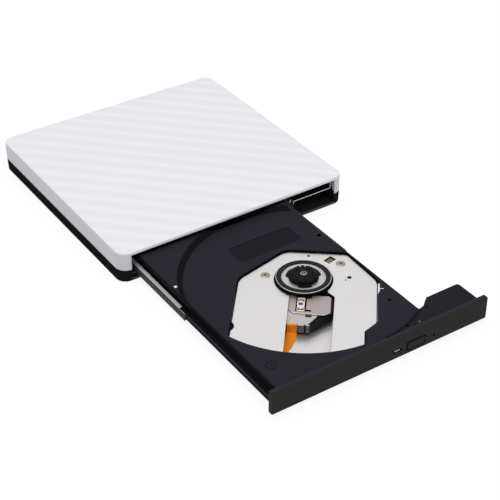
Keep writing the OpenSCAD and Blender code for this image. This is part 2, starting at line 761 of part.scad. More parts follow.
module traverse_frame() color([0.16, 0.16, 0.17]) {
    a1 = pickup_a2 + pickup_travel + 5;
    difference() {
        union() {
            intersection() {
                on_traverse() slab(frame_under, plate_under) difference() {
                    traverse_outline(-0.6, a1);
                    frame_window();
                }
                slab(0, case_h) inside_tray(0.6);
            }
            // lugs that hold the guide rods
            on_traverse() {
                for (spot = [[lug_in0, rod_b0], [lug_out0, rod_b0], [lug_in1, rod_b1], [lug_out1, rod_b1]])
                    translate([spot[0], spot[1], 0])
                        slab(wall_z + 0.35, frame_under + eps)
                            square([lug_l, 2 * rod_r + 1.4], center = true);
            }
        }
        on_traverse() {
            translate([0, 0, frame_under - 1]) cylinder(r = motor_r + 3.2, h = frame_t + 2);
            rod(0, 90, rod_b0, rod_z, rod_r);
            rod(0, 90, rod_b1, rod_z, rod_r);
            for (spot = damper_spots)
                translate([spot[0], spot[1], 0]) slab(0, plate_z) circle(r = plate_hole_r);
            translate([lead_out, lead_b - 3, frame_under - 1]) cube([sled_motor_l + 2, 6, frame_t + 2]);
        }
    }
}

module traverse_cover() color([0.86, 0.85, 0.85]) on_traverse() slab(plate_under, plate_z) difference() {
    intersection() {
        traverse_outline(0, 80);
        circle(opening_r + plate_lap, $fn = 128);
    }
    circle(hole_r);
    translate([0, slot_b0]) square([90, slot_b1 - slot_b0]);
    polygon([[0, slot_b0 - 1.5], [13.4, slot_b0 - 1.5], [13.9, slot_b0],
        [13.9, slot_b1], [8, slot_b1 - 3.8], [0, 12]]);
    for (spot = screw_spots)
        translate(spot) circle(r = plate_hole_r);
    translate([41, plate_b0]) circle(r = 1.4);
    translate([-20.5, 1.4]) circle(r = 0.8);
    translate([-3.5, 23]) circle(r = 1.2);
    translate([-1.2, 21.2]) circle(r = 0.5);
    translate([-18.2, 13.2]) square([4.4, 4.4], center = true);
}

module cover_screw(spot) color([0.72, 0.62, 0.52]) on_traverse() translate(spot) difference() {
    union() {
        translate([0, 0, plate_z]) cylinder(r1 = 2.5, r2 = 1.9, h = 0.4);
        slab(frame_under - 2, plate_z + eps) circle(r = plate_hole_r - 0.1);
    }
    slab(plate_z + 0.15, plate_z + 1) circle(r = 0.7, $fn = 6);
}

// Waisted rubber grommet that floats the traverse on the tray's bottom plate
module damper(spot) color([0.1, 0.1, 0.1]) on_traverse() translate([spot[0], spot[1], wall_z]) {
    top = frame_under - wall_z;
    waist = damper_r - 0.6;
    lip = 0.9;
    rotate_extrude() polygon([[plate_hole_r, 0], [damper_r, 0], [damper_r, lip], [waist, lip + 0.4],
        [waist, top - lip - 0.4], [damper_r, top - lip], [damper_r, top], [plate_hole_r, top]]);
}

module guide_rod(a0, a1, b) color("silver") on_traverse()
    rod(a0 - lug_l / 2, a1 + lug_l / 2, b, rod_z, rod_r);

module spindle_motor() color([0.2, 0.2, 0.21]) on_traverse() difference() {
    union() {
        slab(wall_z + 0.3, frame_under) circle(r = stator_r);
        slab(frame_under - 0.5, plate_z) circle(r = motor_r);
        slab(frame_under - 0.5, frame_under) difference() {
            circle(r = motor_r + 5);
            translate([motor_r, -30]) square(60);
        }
    }
    slab(wall_z + 1, plate_z + 1) circle(r = shaft_r + shaft_gap);
}

module sled_motor() color("silver") on_traverse() difference() {
    union() {
        rod(lead_out + 1, lead_out + 1 + sled_motor_l, lead_b, rod_z, sled_motor_r);
        translate([lead_out + 1, lead_b - 2, rod_z]) cube([sled_motor_l, 4, frame_under - rod_z + 1]);
    }
    rod(lead_out, lead_out + 6, lead_b, rod_z, lead_r * 0.6 + shaft_gap);
}

// Screw with a coarse groove of rings, turned as the pickup travels
module lead_screw() color("lightsteelblue") on_traverse() {
    length = lead_out - lead_in;
    turns = floor((length - 1) / screw_pitch);
    neck_r = lead_r * 0.6;
    translate([lead_in, lead_b, rod_z]) rotate([0, 90, 0]) rotate_extrude()
        polygon(concat([[0, 0]], [for (i = [0:2 * turns]) [i % 2 == 0 ? lead_r : lead_r - 0.3,
            i * screw_pitch / 2]], [[neck_r, length], [neck_r, length + 5], [0, length + 5]]));
}

module on_spindle() translate([spindle_x, spindle_y, 0]) children();

module turntable() color([0.1, 0.1, 0.11]) on_spindle() rotate_extrude()
    polygon([[shaft_r, plate_z + 0.4], [turntable_r - 1.6, plate_z + 0.4], [turntable_r, seat_z - 1.3],
        [turntable_r, seat_z - 0.4], [turntable_r - 0.5, seat_z - 0.25], [turntable_r - 0.5, seat_z - 0.6],
        [turntable_r - 3.4, seat_z - 0.6], [turntable_r - 3.4, seat_z - 0.9], [shaft_r, seat_z - 0.9]]);

module friction_ring() color([0.08, 0.08, 0.08]) on_spindle() rotate_extrude()
    polygon([[turntable_r - 2.9, seat_z - 0.6], [turntable_r - 0.6, seat_z - 0.6],
        [turntable_r - 0.6, seat_z - 0.1], [turntable_r - 0.8, seat_z], [turntable_r - 2.9, seat_z]]);

module spindle_hub() color([0.06, 0.06, 0.07]) on_spindle() rotate(hub_turn) difference() {
    union() {
        rotate_extrude() polygon([[pin_head_r, seat_z - 0.9], [hub_r + 0.4, seat_z - 0.9],
            [hub_r + 0.4, seat_z - 0.4], [hub_r, seat_z - 0.1], [hub_r, seat_z + 1.1],
            [hub_r - 0.8, seat_z + 1.9], [pin_head_r, seat_z + 1.9]]);
        // three lobes of the foot, between the jaws
        for (i = [0:2])
            rotate(i * 120 + 60) slab(seat_z - 0.9, seat_z - 0.3) intersection() {
                circle(r = hub_r + 1.8);
                translate([hub_r - 2, -lobe_w / 2]) square([5, lobe_w]);
            }
    }
    for (i = [0:2])
        rotate(i * 120) translate([hub_r - 2.4, -1.5, seat_z - 0.2]) cube([4, 3, 3]);
    // paired holes in the top
    for (turn = [47, 180, 313], r = [4.2, 6.1])
        rotate(turn) translate([r, 0, seat_z + 1.3]) cylinder(r = 0.5, h = 1);
}

// Three spring jaws that grip the disc's hole
module hub_jaws() color([0.09, 0.09, 0.1]) on_spindle() rotate(hub_turn) {
    for (i = [0:2])
        rotate(i * 120) translate([hub_r - 2.4, 1.35, seat_z - 0.2]) rotate([90, 0, 0]) slab(0, 2.7)
            polygon([[0, 0], [2.4, 0], [2.5, 0.8], [2.65, 1.3], [2, 1.9], [0, 1.9]]);
}

module spindle_shaft() color("silver") on_spindle() {
    slab(wall_z + 1.2, seat_z + 1) circle(r = shaft_r);
    slab(seat_z - 0.9, seat_z + 2.1) circle(r = pin_head_r);
}

module pickup_body() color([0.1, 0.1, 0.11]) on_traverse() difference() {
    union() {
        slab(wall_z + 0.5, pickup_top - 0.9) polygon([[pickup_in, body_b0], [pickup_a2, body_b0],
            [pickup_a2, 5.4], [pickup_a1 - 3, body_b1], [pickup_in, body_b1]]);
        // sleeve on the near rod, fork on the far rod, half nut on the lead screw
        slab(wall_z + 0.3, frame_under - 0.3) {
            translate([sleeve_a, rod_b0 - rod_r - 0.9]) square([14, body_b0 - rod_b0 + rod_r + 0.9 + eps]);
            translate([pickup_in + 1, body_b1 - eps]) square([fork_l, rod_b1 - body_b1 + rod_r + 0.9]);
            translate([sleeve_a, lead_b - lead_r - 0.9]) square([3, rod_b0 - lead_b]);
        }
    }
    rod(0, 60, rod_b0, rod_z, rod_r + shaft_gap);
    rod(0, 60, rod_b1, rod_z, rod_r + shaft_gap);
    rod(0, 60, lead_b, rod_z, lead_r + shaft_gap);
    translate([lens_win_a[0], -lens_win_b, pickup_top - 3.4])
        cube([lens_win_a[1] - lens_win_a[0], 2 * lens_win_b, 10]);
}

module pickup_cover() color([0.66, 0.62, 0.62]) on_traverse() difference() {
    union() {
        slab(pickup_top - 0.4, pickup_top) polygon([[pickup_in, body_b0], [pickup_in, body_b1 - 2.1],
            [pickup_in + 1.5, body_b1 - 1], [pickup_a1 - 1.8, body_b1 - 1],
            [pickup_a1 + 0.4, body_b1 - 4.3], [pickup_a1 - 0.6, body_b0 + 2], [pickup_a1 - 2.9, body_b0]]);
        slab(pickup_top - 0.9, pickup_top - 0.4 + eps)
            translate([pickup_in + 1, 4]) square([pickup_a1 - pickup_in - 3, body_b1 - 5]);
    }
    slab(0, case_h) {
        translate([lens_win_a[0], -lens_win_b]) square([lens_win_a[1] - lens_win_a[0], 2 * lens_win_b]);
        for (a = [lens_win_a[0] + 0.4, lens_win_a[1] - 1.4])
            translate([a, 0]) square([1, lens_win_b + 2.6]);
    }
}

module pickup_board() color([0.6, 0.56, 0.56]) on_traverse() {
    slab(pickup_top - 0.9, pickup_top - 0.5) polygon([[pickup_a1 - 1, body_b0], [pickup_a2, body_b0],
        [pickup_a2, 4], [pickup_a2 - 2.4, 5.6], [pickup_a1 + 0.8, 8.4], [pickup_a1 - 1, 8.4]]);
    // plug of the ribbon and the trimmer beside it, on the outer end of the body
    for (b = [[-0.7, 3], [3.2, 1.8]])
        translate([pickup_a2, b[0], wall_z + 0.8]) cube([plug_t, b[1], pickup_top - 1.3 - wall_z]);
}

module lens_holder() color("wheat") on_traverse() difference() {
    union() {
        slab(pickup_top - 2.4, pickup_top - 0.3) translate([lens_r0 - 3.6, -lens_win_b + 0.9])
            square([7.2, 2 * lens_win_b - 1.8]);
        translate([lens_r0, 0, pickup_top - 0.3 - eps]) cylinder(r = 1.6, h = 0.4);
    }
    translate([lens_r0, 0, pickup_top - 0.9]) cylinder(r = 1.1, h = 2);
}

module lens_coils() color("orangered") on_traverse() {
    for (side = [-1, 1])
        translate([lens_r0 + side * 4.3, 0, pickup_top - 2.2]) slab(0, 1.8) difference() {
            square([1.4, 2 * lens_win_b - 1.8], center = true);
            square([0.6, 2 * lens_win_b - 3], center = true);
        }
}

module objective_lens() color([0.15, 0.3, 0.75]) on_traverse() translate([lens_r0, 0, pickup_top - 0.9])
    rotate_extrude() polygon([[0, 0], [1.1, 0], [1.1, 0.6], [0.8, 0.85], [0, 0.95]]);

// Ribbon that leaves the pickup and dips under the front of the tray
module flex_cable() color("darkorange") on_traverse() {
    a0 = pickup_a2 + 0.1;
    z0 = pickup_top - 0.3;
    film_t = 0.15;
    drop = z0 - film_t - wall_z;
    // stations along the ribbon and how far it has come down at each
    top = [[-2.6, 0], [2, 0.1], [14, 2.1], [22, drop - 0.3], [30, drop - 0.1]];
    translate([0, -0.8, 0]) rotate([90, 0, 0]) slab(0, flex_w)
        polygon(concat([for (p = top) [a0 + p[0], z0 - p[1]]],
            [for (i = [4:-1:0]) [a0 + top[i][0], z0 - top[i][1] - film_t]]));
}

top_cover();
base_shell();
for (i = [0:3]) {
    rubber_foot(i);
    case_screw(i);
}
for (i = [0:1])
    foam_pad(i);
chassis_pan();
chassis_lid();
rail_guide(pan_left, 1, guide_left_t);  // rail_guide_left
rail_guide(step_in, -1, guide_right_t);  // rail_guide_right
bridge_board();
bridge_chips();
usb_socket();
drive_connector();
tray_ribbon();
left_rail();
right_rail();
tray_frame();
front_bezel();
tray_bottom();
light_pipe();
main_board();
board_chips();
eject_switch();
latch_magnet();
latch_pin();
latch_lever();
eject_button();
traverse_frame();
traverse_cover();
for (i = [0:1])
    cover_screw(screw_spots[i]);
for (i = [0:3])
    damper(damper_spots[i]);
guide_rod(lug_in0, lug_out0, rod_b0);  // guide_rod_main
guide_rod(lug_in1, lug_out1, rod_b1);  // guide_rod_far
spindle_motor();
sled_motor();
lead_screw();
turntable();
friction_ring();
spindle_hub();
hub_jaws();
spindle_shaft();
pickup_body();
pickup_cover();
pickup_board();
lens_holder();
lens_coils();
objective_lens();
flex_cable();
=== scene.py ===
import json
import math
import bpy
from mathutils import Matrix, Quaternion, Vector

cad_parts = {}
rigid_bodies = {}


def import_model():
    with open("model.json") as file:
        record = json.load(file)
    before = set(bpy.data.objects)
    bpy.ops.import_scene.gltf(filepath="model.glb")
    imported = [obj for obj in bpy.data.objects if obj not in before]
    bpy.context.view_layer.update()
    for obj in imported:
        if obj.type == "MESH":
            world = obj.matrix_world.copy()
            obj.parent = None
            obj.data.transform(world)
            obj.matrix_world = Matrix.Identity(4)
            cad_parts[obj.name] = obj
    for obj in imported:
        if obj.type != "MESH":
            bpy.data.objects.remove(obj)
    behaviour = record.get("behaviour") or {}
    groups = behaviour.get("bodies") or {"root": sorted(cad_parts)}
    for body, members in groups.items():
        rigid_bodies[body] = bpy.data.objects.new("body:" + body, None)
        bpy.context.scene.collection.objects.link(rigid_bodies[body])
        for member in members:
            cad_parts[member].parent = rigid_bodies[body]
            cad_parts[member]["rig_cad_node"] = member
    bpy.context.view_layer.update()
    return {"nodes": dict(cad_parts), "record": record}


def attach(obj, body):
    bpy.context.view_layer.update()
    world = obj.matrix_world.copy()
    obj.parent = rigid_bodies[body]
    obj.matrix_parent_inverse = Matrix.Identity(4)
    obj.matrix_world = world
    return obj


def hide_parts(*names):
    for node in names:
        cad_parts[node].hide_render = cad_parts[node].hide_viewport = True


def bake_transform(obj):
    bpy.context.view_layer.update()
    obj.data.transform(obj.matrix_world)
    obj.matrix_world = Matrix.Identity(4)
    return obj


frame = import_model()
scene = bpy.context.scene
scene.view_settings.view_transform = "Standard"
print("frame loaded:", len(frame["nodes"]), "solids")


# small helpers

def mm(*values):
    return values[0] / 1000 if len(values) == 1 else tuple(value / 1000 for value in values)


def hexColour(code):
    levels = [int(code[i:i + 2], 16) / 255 for i in (1, 3, 5)]
    return (*[v / 12.92 if v <= 0.04045 else ((v + 0.055) / 1.055) ** 2.4 for v in levels], 1)


def perMetre(size):  # texture scale for cells of this size in mm
    return 1000 / size


def bandScale(pitch):  # wave texture scale for bands this far apart in mm
    return math.pi / 10 * 1000 / pitch


def addNode(tree, kind, values=None, links=None, **settings):
    # sockets by number on a Mix node: 0 the factor, 2 and 3 the values, 6 and 7 the colours
    node = tree.nodes.new("ShaderNode" + kind)
    for key, value in settings.items():
        setattr(node, key, value)
    for key, value in (values or {}).items():
        node.inputs[key].default_value = value
    for key, socket in (links or {}).items():
        tree.links.new(socket, node.inputs[key])
    return node


def clearTree(owner):  # the emptied node tree of a material or of the world
    owner.use_nodes = True
    owner.node_tree.nodes.clear()
    return owner.node_tree


def newMaterial(name):
    material = bpy.data.materials.new(name)
    tree = clearTree(material)
    return material, tree, addNode(tree, "TexCoord").outputs["Object"]


def pieceName(node):  # foot_front_left becomes footFrontLeft, and a single word gets a second one
    first, *rest = node.split("_")
    return first + "".join(word.capitalize() for word in rest or ["disc"])


def selectOnly(piece):
    bpy.ops.object.select_all(action="DESELECT")
    piece.select_set(True)
    bpy.context.view_layer.objects.active = piece


def useModifier(piece, kind, **settings):
    selectOnly(piece)
    modifier = piece.modifiers.new(kind.lower(), kind)
    for key, value in settings.items():
        setattr(modifier, key, value)
    bpy.ops.object.modifier_apply(modifier=modifier.name)


# camera at the photograph's angle

cameraLook = {"target": (1.38, -17.93, 0), "distance": 702.88, "azimuth": -33.22,
              "elevation": 35.2, "roll": -0.44, "lens": 94.61, "sensor": 36, "clip": (0.02, 20)}


def addCamera(look):
    data = bpy.data.cameras.new("camera")
    data.lens = look["lens"]
    data.sensor_width = look["sensor"]
    data.clip_start, data.clip_end = look["clip"]
    camera = bpy.data.objects.new("camera", data)
    scene.collection.objects.link(camera)
    turn, lift = math.radians(look["azimuth"]), math.radians(look["elevation"])
    back = Vector((math.sin(turn) * math.cos(lift), -math.cos(turn) * math.cos(lift),
                   math.sin(lift)))
    camera.location = Vector(mm(*look["target"])) + back * mm(look["distance"])
    camera.rotation_mode = "QUATERNION"
    camera.rotation_quaternion = (-back).to_track_quat("-Z", "Y") @ Quaternion(
        (0, 0, 1), math.radians(look["roll"]))
    scene.camera = camera


addCamera(cameraLook)


# floor, world and lamps

stageLook = {"bounce": "#B0B0B0", "size": 4.0, "glow": 0.88, "shade": 0.14, "sky": 0.5}
lamps = {
    "overheadSoftbox": {"at": (-0.25, -0.1, 1.3), "size": 1.3, "power": 9.2},
    "frontSoftbox": {"at": (0.7, -1.3, 0.9), "size": 0.9, "power": 4},
}


def seenRays(tree):  # 1 for what the camera, a mirror or glass sees, 0 for light on other surfaces
    path = addNode(tree, "LightPath")
    first = addNode(tree, "Math", links={0: path.outputs["Is Camera Ray"],
                                         1: path.outputs["Is Glossy Ray"]}, operation="MAXIMUM")
    return addNode(tree, "Math", links={0: first.outputs[0],
                                        1: path.outputs["Is Transmission Ray"]},
                   operation="MAXIMUM").outputs[0]


def addStage(look):
    world = bpy.data.worlds.new("studio")
    scene.world = world
    tree = clearTree(world)
    light = addNode(tree, "Background", {"Color": (1, 1, 1, 1), "Strength": look["sky"]})
    seen = addNode(tree, "Background", {"Color": (1, 1, 1, 1), "Strength": 1})
    both = addNode(tree, "MixShader",
                   links={0: seenRays(tree), 1: light.outputs[0], 2: seen.outputs[0]})
    addNode(tree, "OutputWorld", links={"Surface": both.outputs[0]})

    # seamless backdrop paper: white, with a faint soft shadow
    paper = bpy.data.materials.new("whitePaper")
    tree = clearTree(paper)
    bounce = addNode(tree, "BsdfDiffuse", {"Color": hexColour(look["bounce"])})
    shade = addNode(tree, "BsdfDiffuse", {"Color": (look["shade"],) * 3 + (1,)})
    glow = addNode(tree, "Emission", {"Color": hexColour("#FFFFFF"), "Strength": look["glow"]})
    lit = addNode(tree, "AddShader", links={0: shade.outputs[0], 1: glow.outputs[0]})
    both = addNode(tree, "MixShader",
                   links={0: seenRays(tree), 1: bounce.outputs[0], 2: lit.outputs[0]})
    addNode(tree, "OutputMaterial", links={"Surface": both.outputs[0]})

    bpy.ops.object.select_all(action="DESELECT")
    bpy.ops.mesh.primitive_plane_add(size=look["size"])
    floor = bpy.context.object
    floor.name = "floor"
    floor.data.materials.append(paper)


def addLamps(rows):
    for name, look in rows.items():
        data = bpy.data.lights.new(name, "AREA")
        data.size = look["size"]
        data.energy = look["power"]
        lamp = bpy.data.objects.new(name, data)
        lamp.location = look["at"]
        lamp.rotation_euler = (-Vector(look["at"])).to_track_quat("-Z", "Y").to_euler()
        scene.collection.objects.link(lamp)


addStage(stageLook)
addLamps(lamps)
print("camera, floor and lamps set")


# resins

slotTurn = 51.3  # the way of the pickup's slot in plan, in degrees
noiseSpread = {"From Min": 0.3, "From Max": 0.7}  # most values of a noise texture lie here
whiteCase = {"light": "#EFEEF3", "dark": "#EAE9EF", "pitch": 10, "turn": -45, "band": (0.42, 0.78),
             "top": (0.9, 0.99), "grit": 0.9, "depth": 0.06, "roughness": 0.42, "specular": 0.3}


def mouldedWhiteAbs(look):
    # moulded ABS with a soft diagonal twill in the skin: two whites a shade apart, a satin highlight
    material, tree, place = newMaterial("mouldedWhiteAbs")
    turned = addNode(tree, "Mapping", {"Rotation": (0, 0, math.radians(look["turn"]))},
                     {"Vector": place})
    twill = addNode(tree, "TexWave", {"Scale": bandScale(look["pitch"]), "Distortion": 0.6,
                                      "Detail": 1, "Detail Scale": 3}, {"Vector": turned.outputs[0]})
    low, high = look["band"]
    band = addNode(tree, "MapRange", {"From Min": low, "From Max": high},
                   {"Value": twill.outputs["Fac"]})
    facing = addNode(tree, "SeparateXYZ", links={0: addNode(tree, "NewGeometry").outputs["Normal"]})
    low, high = look["top"]  # the sides, which don't look up, are plain
    onTop = addNode(tree, "MapRange", {"From Min": low, "From Max": high},
                    {"Value": facing.outputs[2]})
    plain = addNode(tree, "Mix", {2: 0.5}, {0: onTop.outputs[0], 3: band.outputs[0]})
    tint = addNode(tree, "Mix", {6: hexColour(look["dark"]), 7: hexColour(look["light"])},
                   {0: plain.outputs[0]}, data_type="RGBA")
    grit = addNode(tree, "TexNoise", {"Scale": perMetre(look["grit"]), "Detail": 2},
                   {"Vector": place})
    bump = addNode(tree, "Bump", {"Strength": look["depth"], "Distance": mm(0.05)},
                   {"Height": grit.outputs["Fac"]})
    shader = addNode(tree, "BsdfPrincipled", {"Roughness": look["roughness"],
                                              "Specular IOR Level": look["specular"]},
                     {"Base Color": tint.outputs[2], "Normal": bump.outputs[0]})
    addNode(tree, "OutputMaterial", links={"Surface": shader.outputs[0]})
    return material


resins = {  # finish: material, dark, light, cloud and grit in mm, bump, roughness, specular
    # moulded ABS: dark neutral greys, a fine spark-eroded grain; a paler grey is a painted highlight
    # along lit edges
    "black_abs": ("sparkedBlackAbs", "#1C1C1F", "#242427", 14, 0.5, 0.1, (0.56, 0.7), 0.02),
    "base_abs": ("mouldedBlackAbs", "#1E1E20", "#272729", 14, 0.5, 0.1, (0.6, 0.74), 0.0),
    "bezel_abs": ("texturedBezelAbs", "#262625", "#2E2E2D", 14, 0.5, 0.1, (0.5, 0.64), 0.08),
    # painted shade: a darker, bluer copy of the bezel's ABS for its top face
    "bezel_top": ("shadedTopBezelAbs", "#232328", "#2A2A2F", 14, 0.5, 0.06, (0.46, 0.6), 0.08),
    # painted highlight: a paler grey for lit edges and lips
    "highlight_grey": ("paintedHighlightGrey", "#404042", "#4C4C4E", 14, 0.5, 0.06, (0.5, 0.62), 0.1),
    # tray resin: bluish black with broad flow clouds, matt where etched; a darker copy of it is
    # painted shade
    "tray_resin": ("mouldedTrayResin", "#26252C", "#2E2D34", 22, 0.4, 0.08, (0.56, 0.7), 0.02),
    # etched resin of the sunk field, also painted shade on the tray's rounded left slope
    "tray_field": ("etchedFieldAndSlopeShade", "#1D1C22", "#25242A", 22, 0.4, 0.12, (0.6, 0.74), 0.02),
    # painted shade: a darker copy of the tray resin for faces that the light misses
    "tray_shade": ("paintedShadeTrayResin", "#121116", "#18171C", 22, 0.4, 0.04, (0.5, 0.62), 0.02),
    # the tops at the tray's front, a shade darker
    "wing_resin": ("darkerFrontTrayResin", "#202024", "#28282C", 22, 0.4, 0.08, (0.56, 0.7), 0.02),
    # acetal, nylon and lens resin: small mouldings with a soft even shine
    # black acetal, also painted shade in gaps, slots and grooves and on the pickup body's top, and a
    # painted dark reflection on the lens
    "hub_resin": ("blackAcetalAndPaintedShade", "#0B0B0D", "#121214", 4, 0.25, 0.06, (0.4, 0.55), 0.06),
    "white_resin": ("whiteAcetal", "#F4F4F4", "#FCFCFC", 4, 0.3, 0.03, (0.36, 0.48), 0.4),
    "guide_resin": ("naturalAcetal", "#D6D0C2", "#E2DDD0", 6, 0.4, 0.03, (0.34, 0.44), 0.4),
    "lens_resin": ("creamLensResin", "#DCD2B4", "#E8E0C8", 1.5, 0.2, 0.03, (0.36, 0.46), 0.4),
    "plug_resin": ("greyNylon", "#5E5854", "#6C6661", 1.5, 0.2, 0.06, (0.5, 0.62), 0.2),
    # filled resin, epoxy and phenolic paper: a short mottle, duller than the plain resins
    # glass-filled resin, also painted shade on the light pipe's shank inside its slot
    "pickup_resin": ("glassFilledResinAndShade", "#18181A", "#232326", 2.5, 0.25, 0.1, (0.42, 0.58), 0.1),
    "chip_epoxy": ("mouldedEpoxy", "#171719", "#222224", 4, 0.2, 0.06, (0.5, 0.62), 0.3),
    # brown phenolic, also painted shade on the walls of the yokes' slots and in the screws' recesses
    "pad_board": ("brownPhenolicAndShade", "#332E24", "#423B2E", 1, 0.2, 0.05, (0.5, 0.62), 0.2),
    # rubber and foam: matt black skins, the foam with its cells showing
    "rubber": ("mouldedRubber", "#151515", "#202020", 3, 0.3, 0.2, (0.74, 0.88), 0.2),
    "foam": ("closedCellFoam", "#2A2A2C", "#3A3A3D", 1.2, 0.8, 0.6, (0.86, 0.96), 0.1),
    # coats on steel, which hide its grain: phosphate grey; a pale grey painted as light on the left
    # rail's flange top; a near-white painted highlight on cut sheet edges
    "rail_web": ("phosphatedSteel", "#3A3A3B", "#454547", 6, 0.4, 0.08, (0.5, 0.64), 0.1),
    # painted light: the left rail's flange top, where the lamp falls on it
    "flange_light": ("paintedFlangeLight", "#CACACE", "#D8D8DC", 4, 0.3, 0.04, (0.36, 0.48), 0.5),
    # painted highlight: near-white for sheet edges that catch the light
    "edge_highlight": ("paintedEdgeHighlight", "#F0F0F2", "#FAFAFC", 4, 0.3, 0.03, (0.36, 0.48), 0.5),
}


def mouldedResin(name, dark, light, cloud, grit, depth, roughness, specular):
    # moulded resin: slow colour drift across the skin, and a fine grit that makes its gloss a satin
    # the real grit is too fine to show, so it is drawn coarser
    material, tree, place = newMaterial(name)
    drift = addNode(tree, "TexNoise", {"Scale": perMetre(cloud), "Detail": 3}, {"Vector": place})
    skin = addNode(tree, "TexNoise", {"Scale": perMetre(grit), "Detail": 2}, {"Vector": place})
    both = addNode(tree, "Mix", {0: 0.45}, {2: drift.outputs["Fac"], 3: skin.outputs["Fac"]})
    tint = addNode(tree, "Mix", {6: hexColour(dark), 7: hexColour(light)}, {0: both.outputs[0]},
                   data_type="RGBA")
    satin = addNode(tree, "MapRange", {**noiseSpread, "To Min": roughness[0], "To Max": roughness[1]},
                    {"Value": skin.outputs["Fac"]})
    bump = addNode(tree, "Bump", {"Strength": depth, "Distance": mm(0.1)},
                   {"Height": skin.outputs["Fac"]})
    shader = addNode(tree, "BsdfPrincipled", {"Specular IOR Level": specular},
                     {"Base Color": tint.outputs[2], "Roughness": satin.outputs[0],
                      "Normal": bump.outputs[0]})
    addNode(tree, "OutputMaterial", links={"Surface": shader.outputs[0]})
    return material


# metals

metals = {  # finish: material, dark, light, grain in mm along and across, its turn, roughness, bump
    # plated and polished sheet: bright, with a grain along the slot
    "bright_sheet": ("tinPlatedSheet", "#D2D0D1", "#DCDADB", (60, 0.7), slotTurn, (0.3, 0.4), 0.03),
    "bright_steel": ("polishedSteel", "#C9CBD0", "#E2E4E8", (8, 0.5), slotTurn, (0.16, 0.26), 0.02),
    "tinned_board": ("tinnedPlate", "#B2ACAC", "#BEB9B9", (1.2, 1.2), slotTurn, (0.42, 0.54), 0.04),
    # screws, pins and turned rings: a fine even grain, bronze tones where chromated
    "screw_steel": ("blackenedScrewSteel", "#3C3C3F", "#55555A", (1, 1), 0, (0.34, 0.46), 0.05),
    "bronze_screw": ("yellowChromatedSteel", "#948980", "#A79C93", (1.2, 1.2), 0, (0.28, 0.4), 0.04),
    "pin_steel": ("burnishedSteel", "#8E7F74", "#A89A8E", (0.6, 0.6), 0, (0.3, 0.42), 0.05),
    # turned nickel, also a painted highlight on the pickup cover's outer edge
    "bright_line": ("turnedNickelAndHighlight", "#C4C4C6", "#DADADC", (1, 1), 0, (0.2, 0.3), 0.02),
    # cast zinc, satin nickel and gold flash: soft broken highlights
    "pickup_alloy": ("castZincAlloy", "#A29999", "#AEA5A5", (0.9, 0.9), 0, (0.44, 0.56), 0.06),
    "pale_plate": ("satinNickelSheet", "#B6B8B9", "#C4C6C7", (1.5, 1.5), 0, (0.36, 0.48), 0.03),
    "gold_pads": ("goldFlash", "#C0B496", "#DAD0B8", (0.6, 0.6), 0, (0.28, 0.4), 0.04),
    # copper windings: warm streaks along the wire
    "coil_wire": ("enamelledCopper", "#B4421E", "#DC6A34", (3, 0.25), slotTurn, (0.3, 0.42), 0.1),
    "copper_coil": ("woundCopper", "#9A5A30", "#C07A48", (6, 0.4), 0, (0.3, 0.42), 0.15),
}


def rolledMetal(name, dark, light, grain, turn, roughness, depth):
    # rolled or turned metal: grain drawn out along its working direction, and its gloss runs with it
    material, tree, place = newMaterial(name)
    along, across = (perMetre(size) for size in grain)
    turned = addNode(tree, "Mapping", {"Rotation": (0, 0, math.radians(turn)),
                                       "Scale": (along, across, across)}, {"Vector": place})
    streaks = addNode(tree, "TexNoise", {"Scale": 1, "Detail": 4, "Roughness": 0.6},
                      {"Vector": turned.outputs[0]})
    tint = addNode(tree, "Mix", {6: hexColour(dark), 7: hexColour(light)},
                   {0: streaks.outputs["Fac"]}, data_type="RGBA")
    satin = addNode(tree, "MapRange", {**noiseSpread, "To Min": roughness[0], "To Max": roughness[1]},
                    {"Value": streaks.outputs["Fac"]})
    bump = addNode(tree, "Bump", {"Strength": depth, "Distance": mm(0.05)},
                   {"Height": streaks.outputs["Fac"]})
    shader = addNode(tree, "BsdfPrincipled", {"Metallic": 1},
                     {"Base Color": tint.outputs[2], "Roughness": satin.outputs[0],
                      "Normal": bump.outputs[0]})
    addNode(tree, "OutputMaterial", links={"Surface": shader.outputs[0]})
    return material


zincSheet = {"dark": "#A4A7AB", "light": "#C2C4C8", "spangle": 5, "roughness": (0.32, 0.5)}


def galvanisedSheet(look):
    # hot-dip zinc: crystals a few millimetres wide, each with its own grey and its own gloss
    material, tree, place = newMaterial("galvanisedSheet")
    crystals = addNode(tree, "TexVoronoi", {"Scale": perMetre(look["spangle"])}, {"Vector": place})
    shadeOf = addNode(tree, "SeparateColor", links={0: crystals.outputs["Color"]})
    tint = addNode(tree, "Mix", {6: hexColour(look["dark"]), 7: hexColour(look["light"])},
                   {0: shadeOf.outputs[0]}, data_type="RGBA")
    low, high = look["roughness"]
    satin = addNode(tree, "MapRange", {"To Min": low, "To Max": high},
                    {"Value": shadeOf.outputs[1]})
    shader = addNode(tree, "BsdfPrincipled", {"Metallic": 1},
                     {"Base Color": tint.outputs[2], "Roughness": satin.outputs[0]})
    addNode(tree, "OutputMaterial", links={"Surface": shader.outputs[0]})
    return material


# films, boards, glass

circuitBoard = {"mask": "#1C5A34", "track": "#2C7A48", "cell": 6.4, "line": 0.03,
                "run": 1.7, "row": 0.4, "roughness": 0.34}


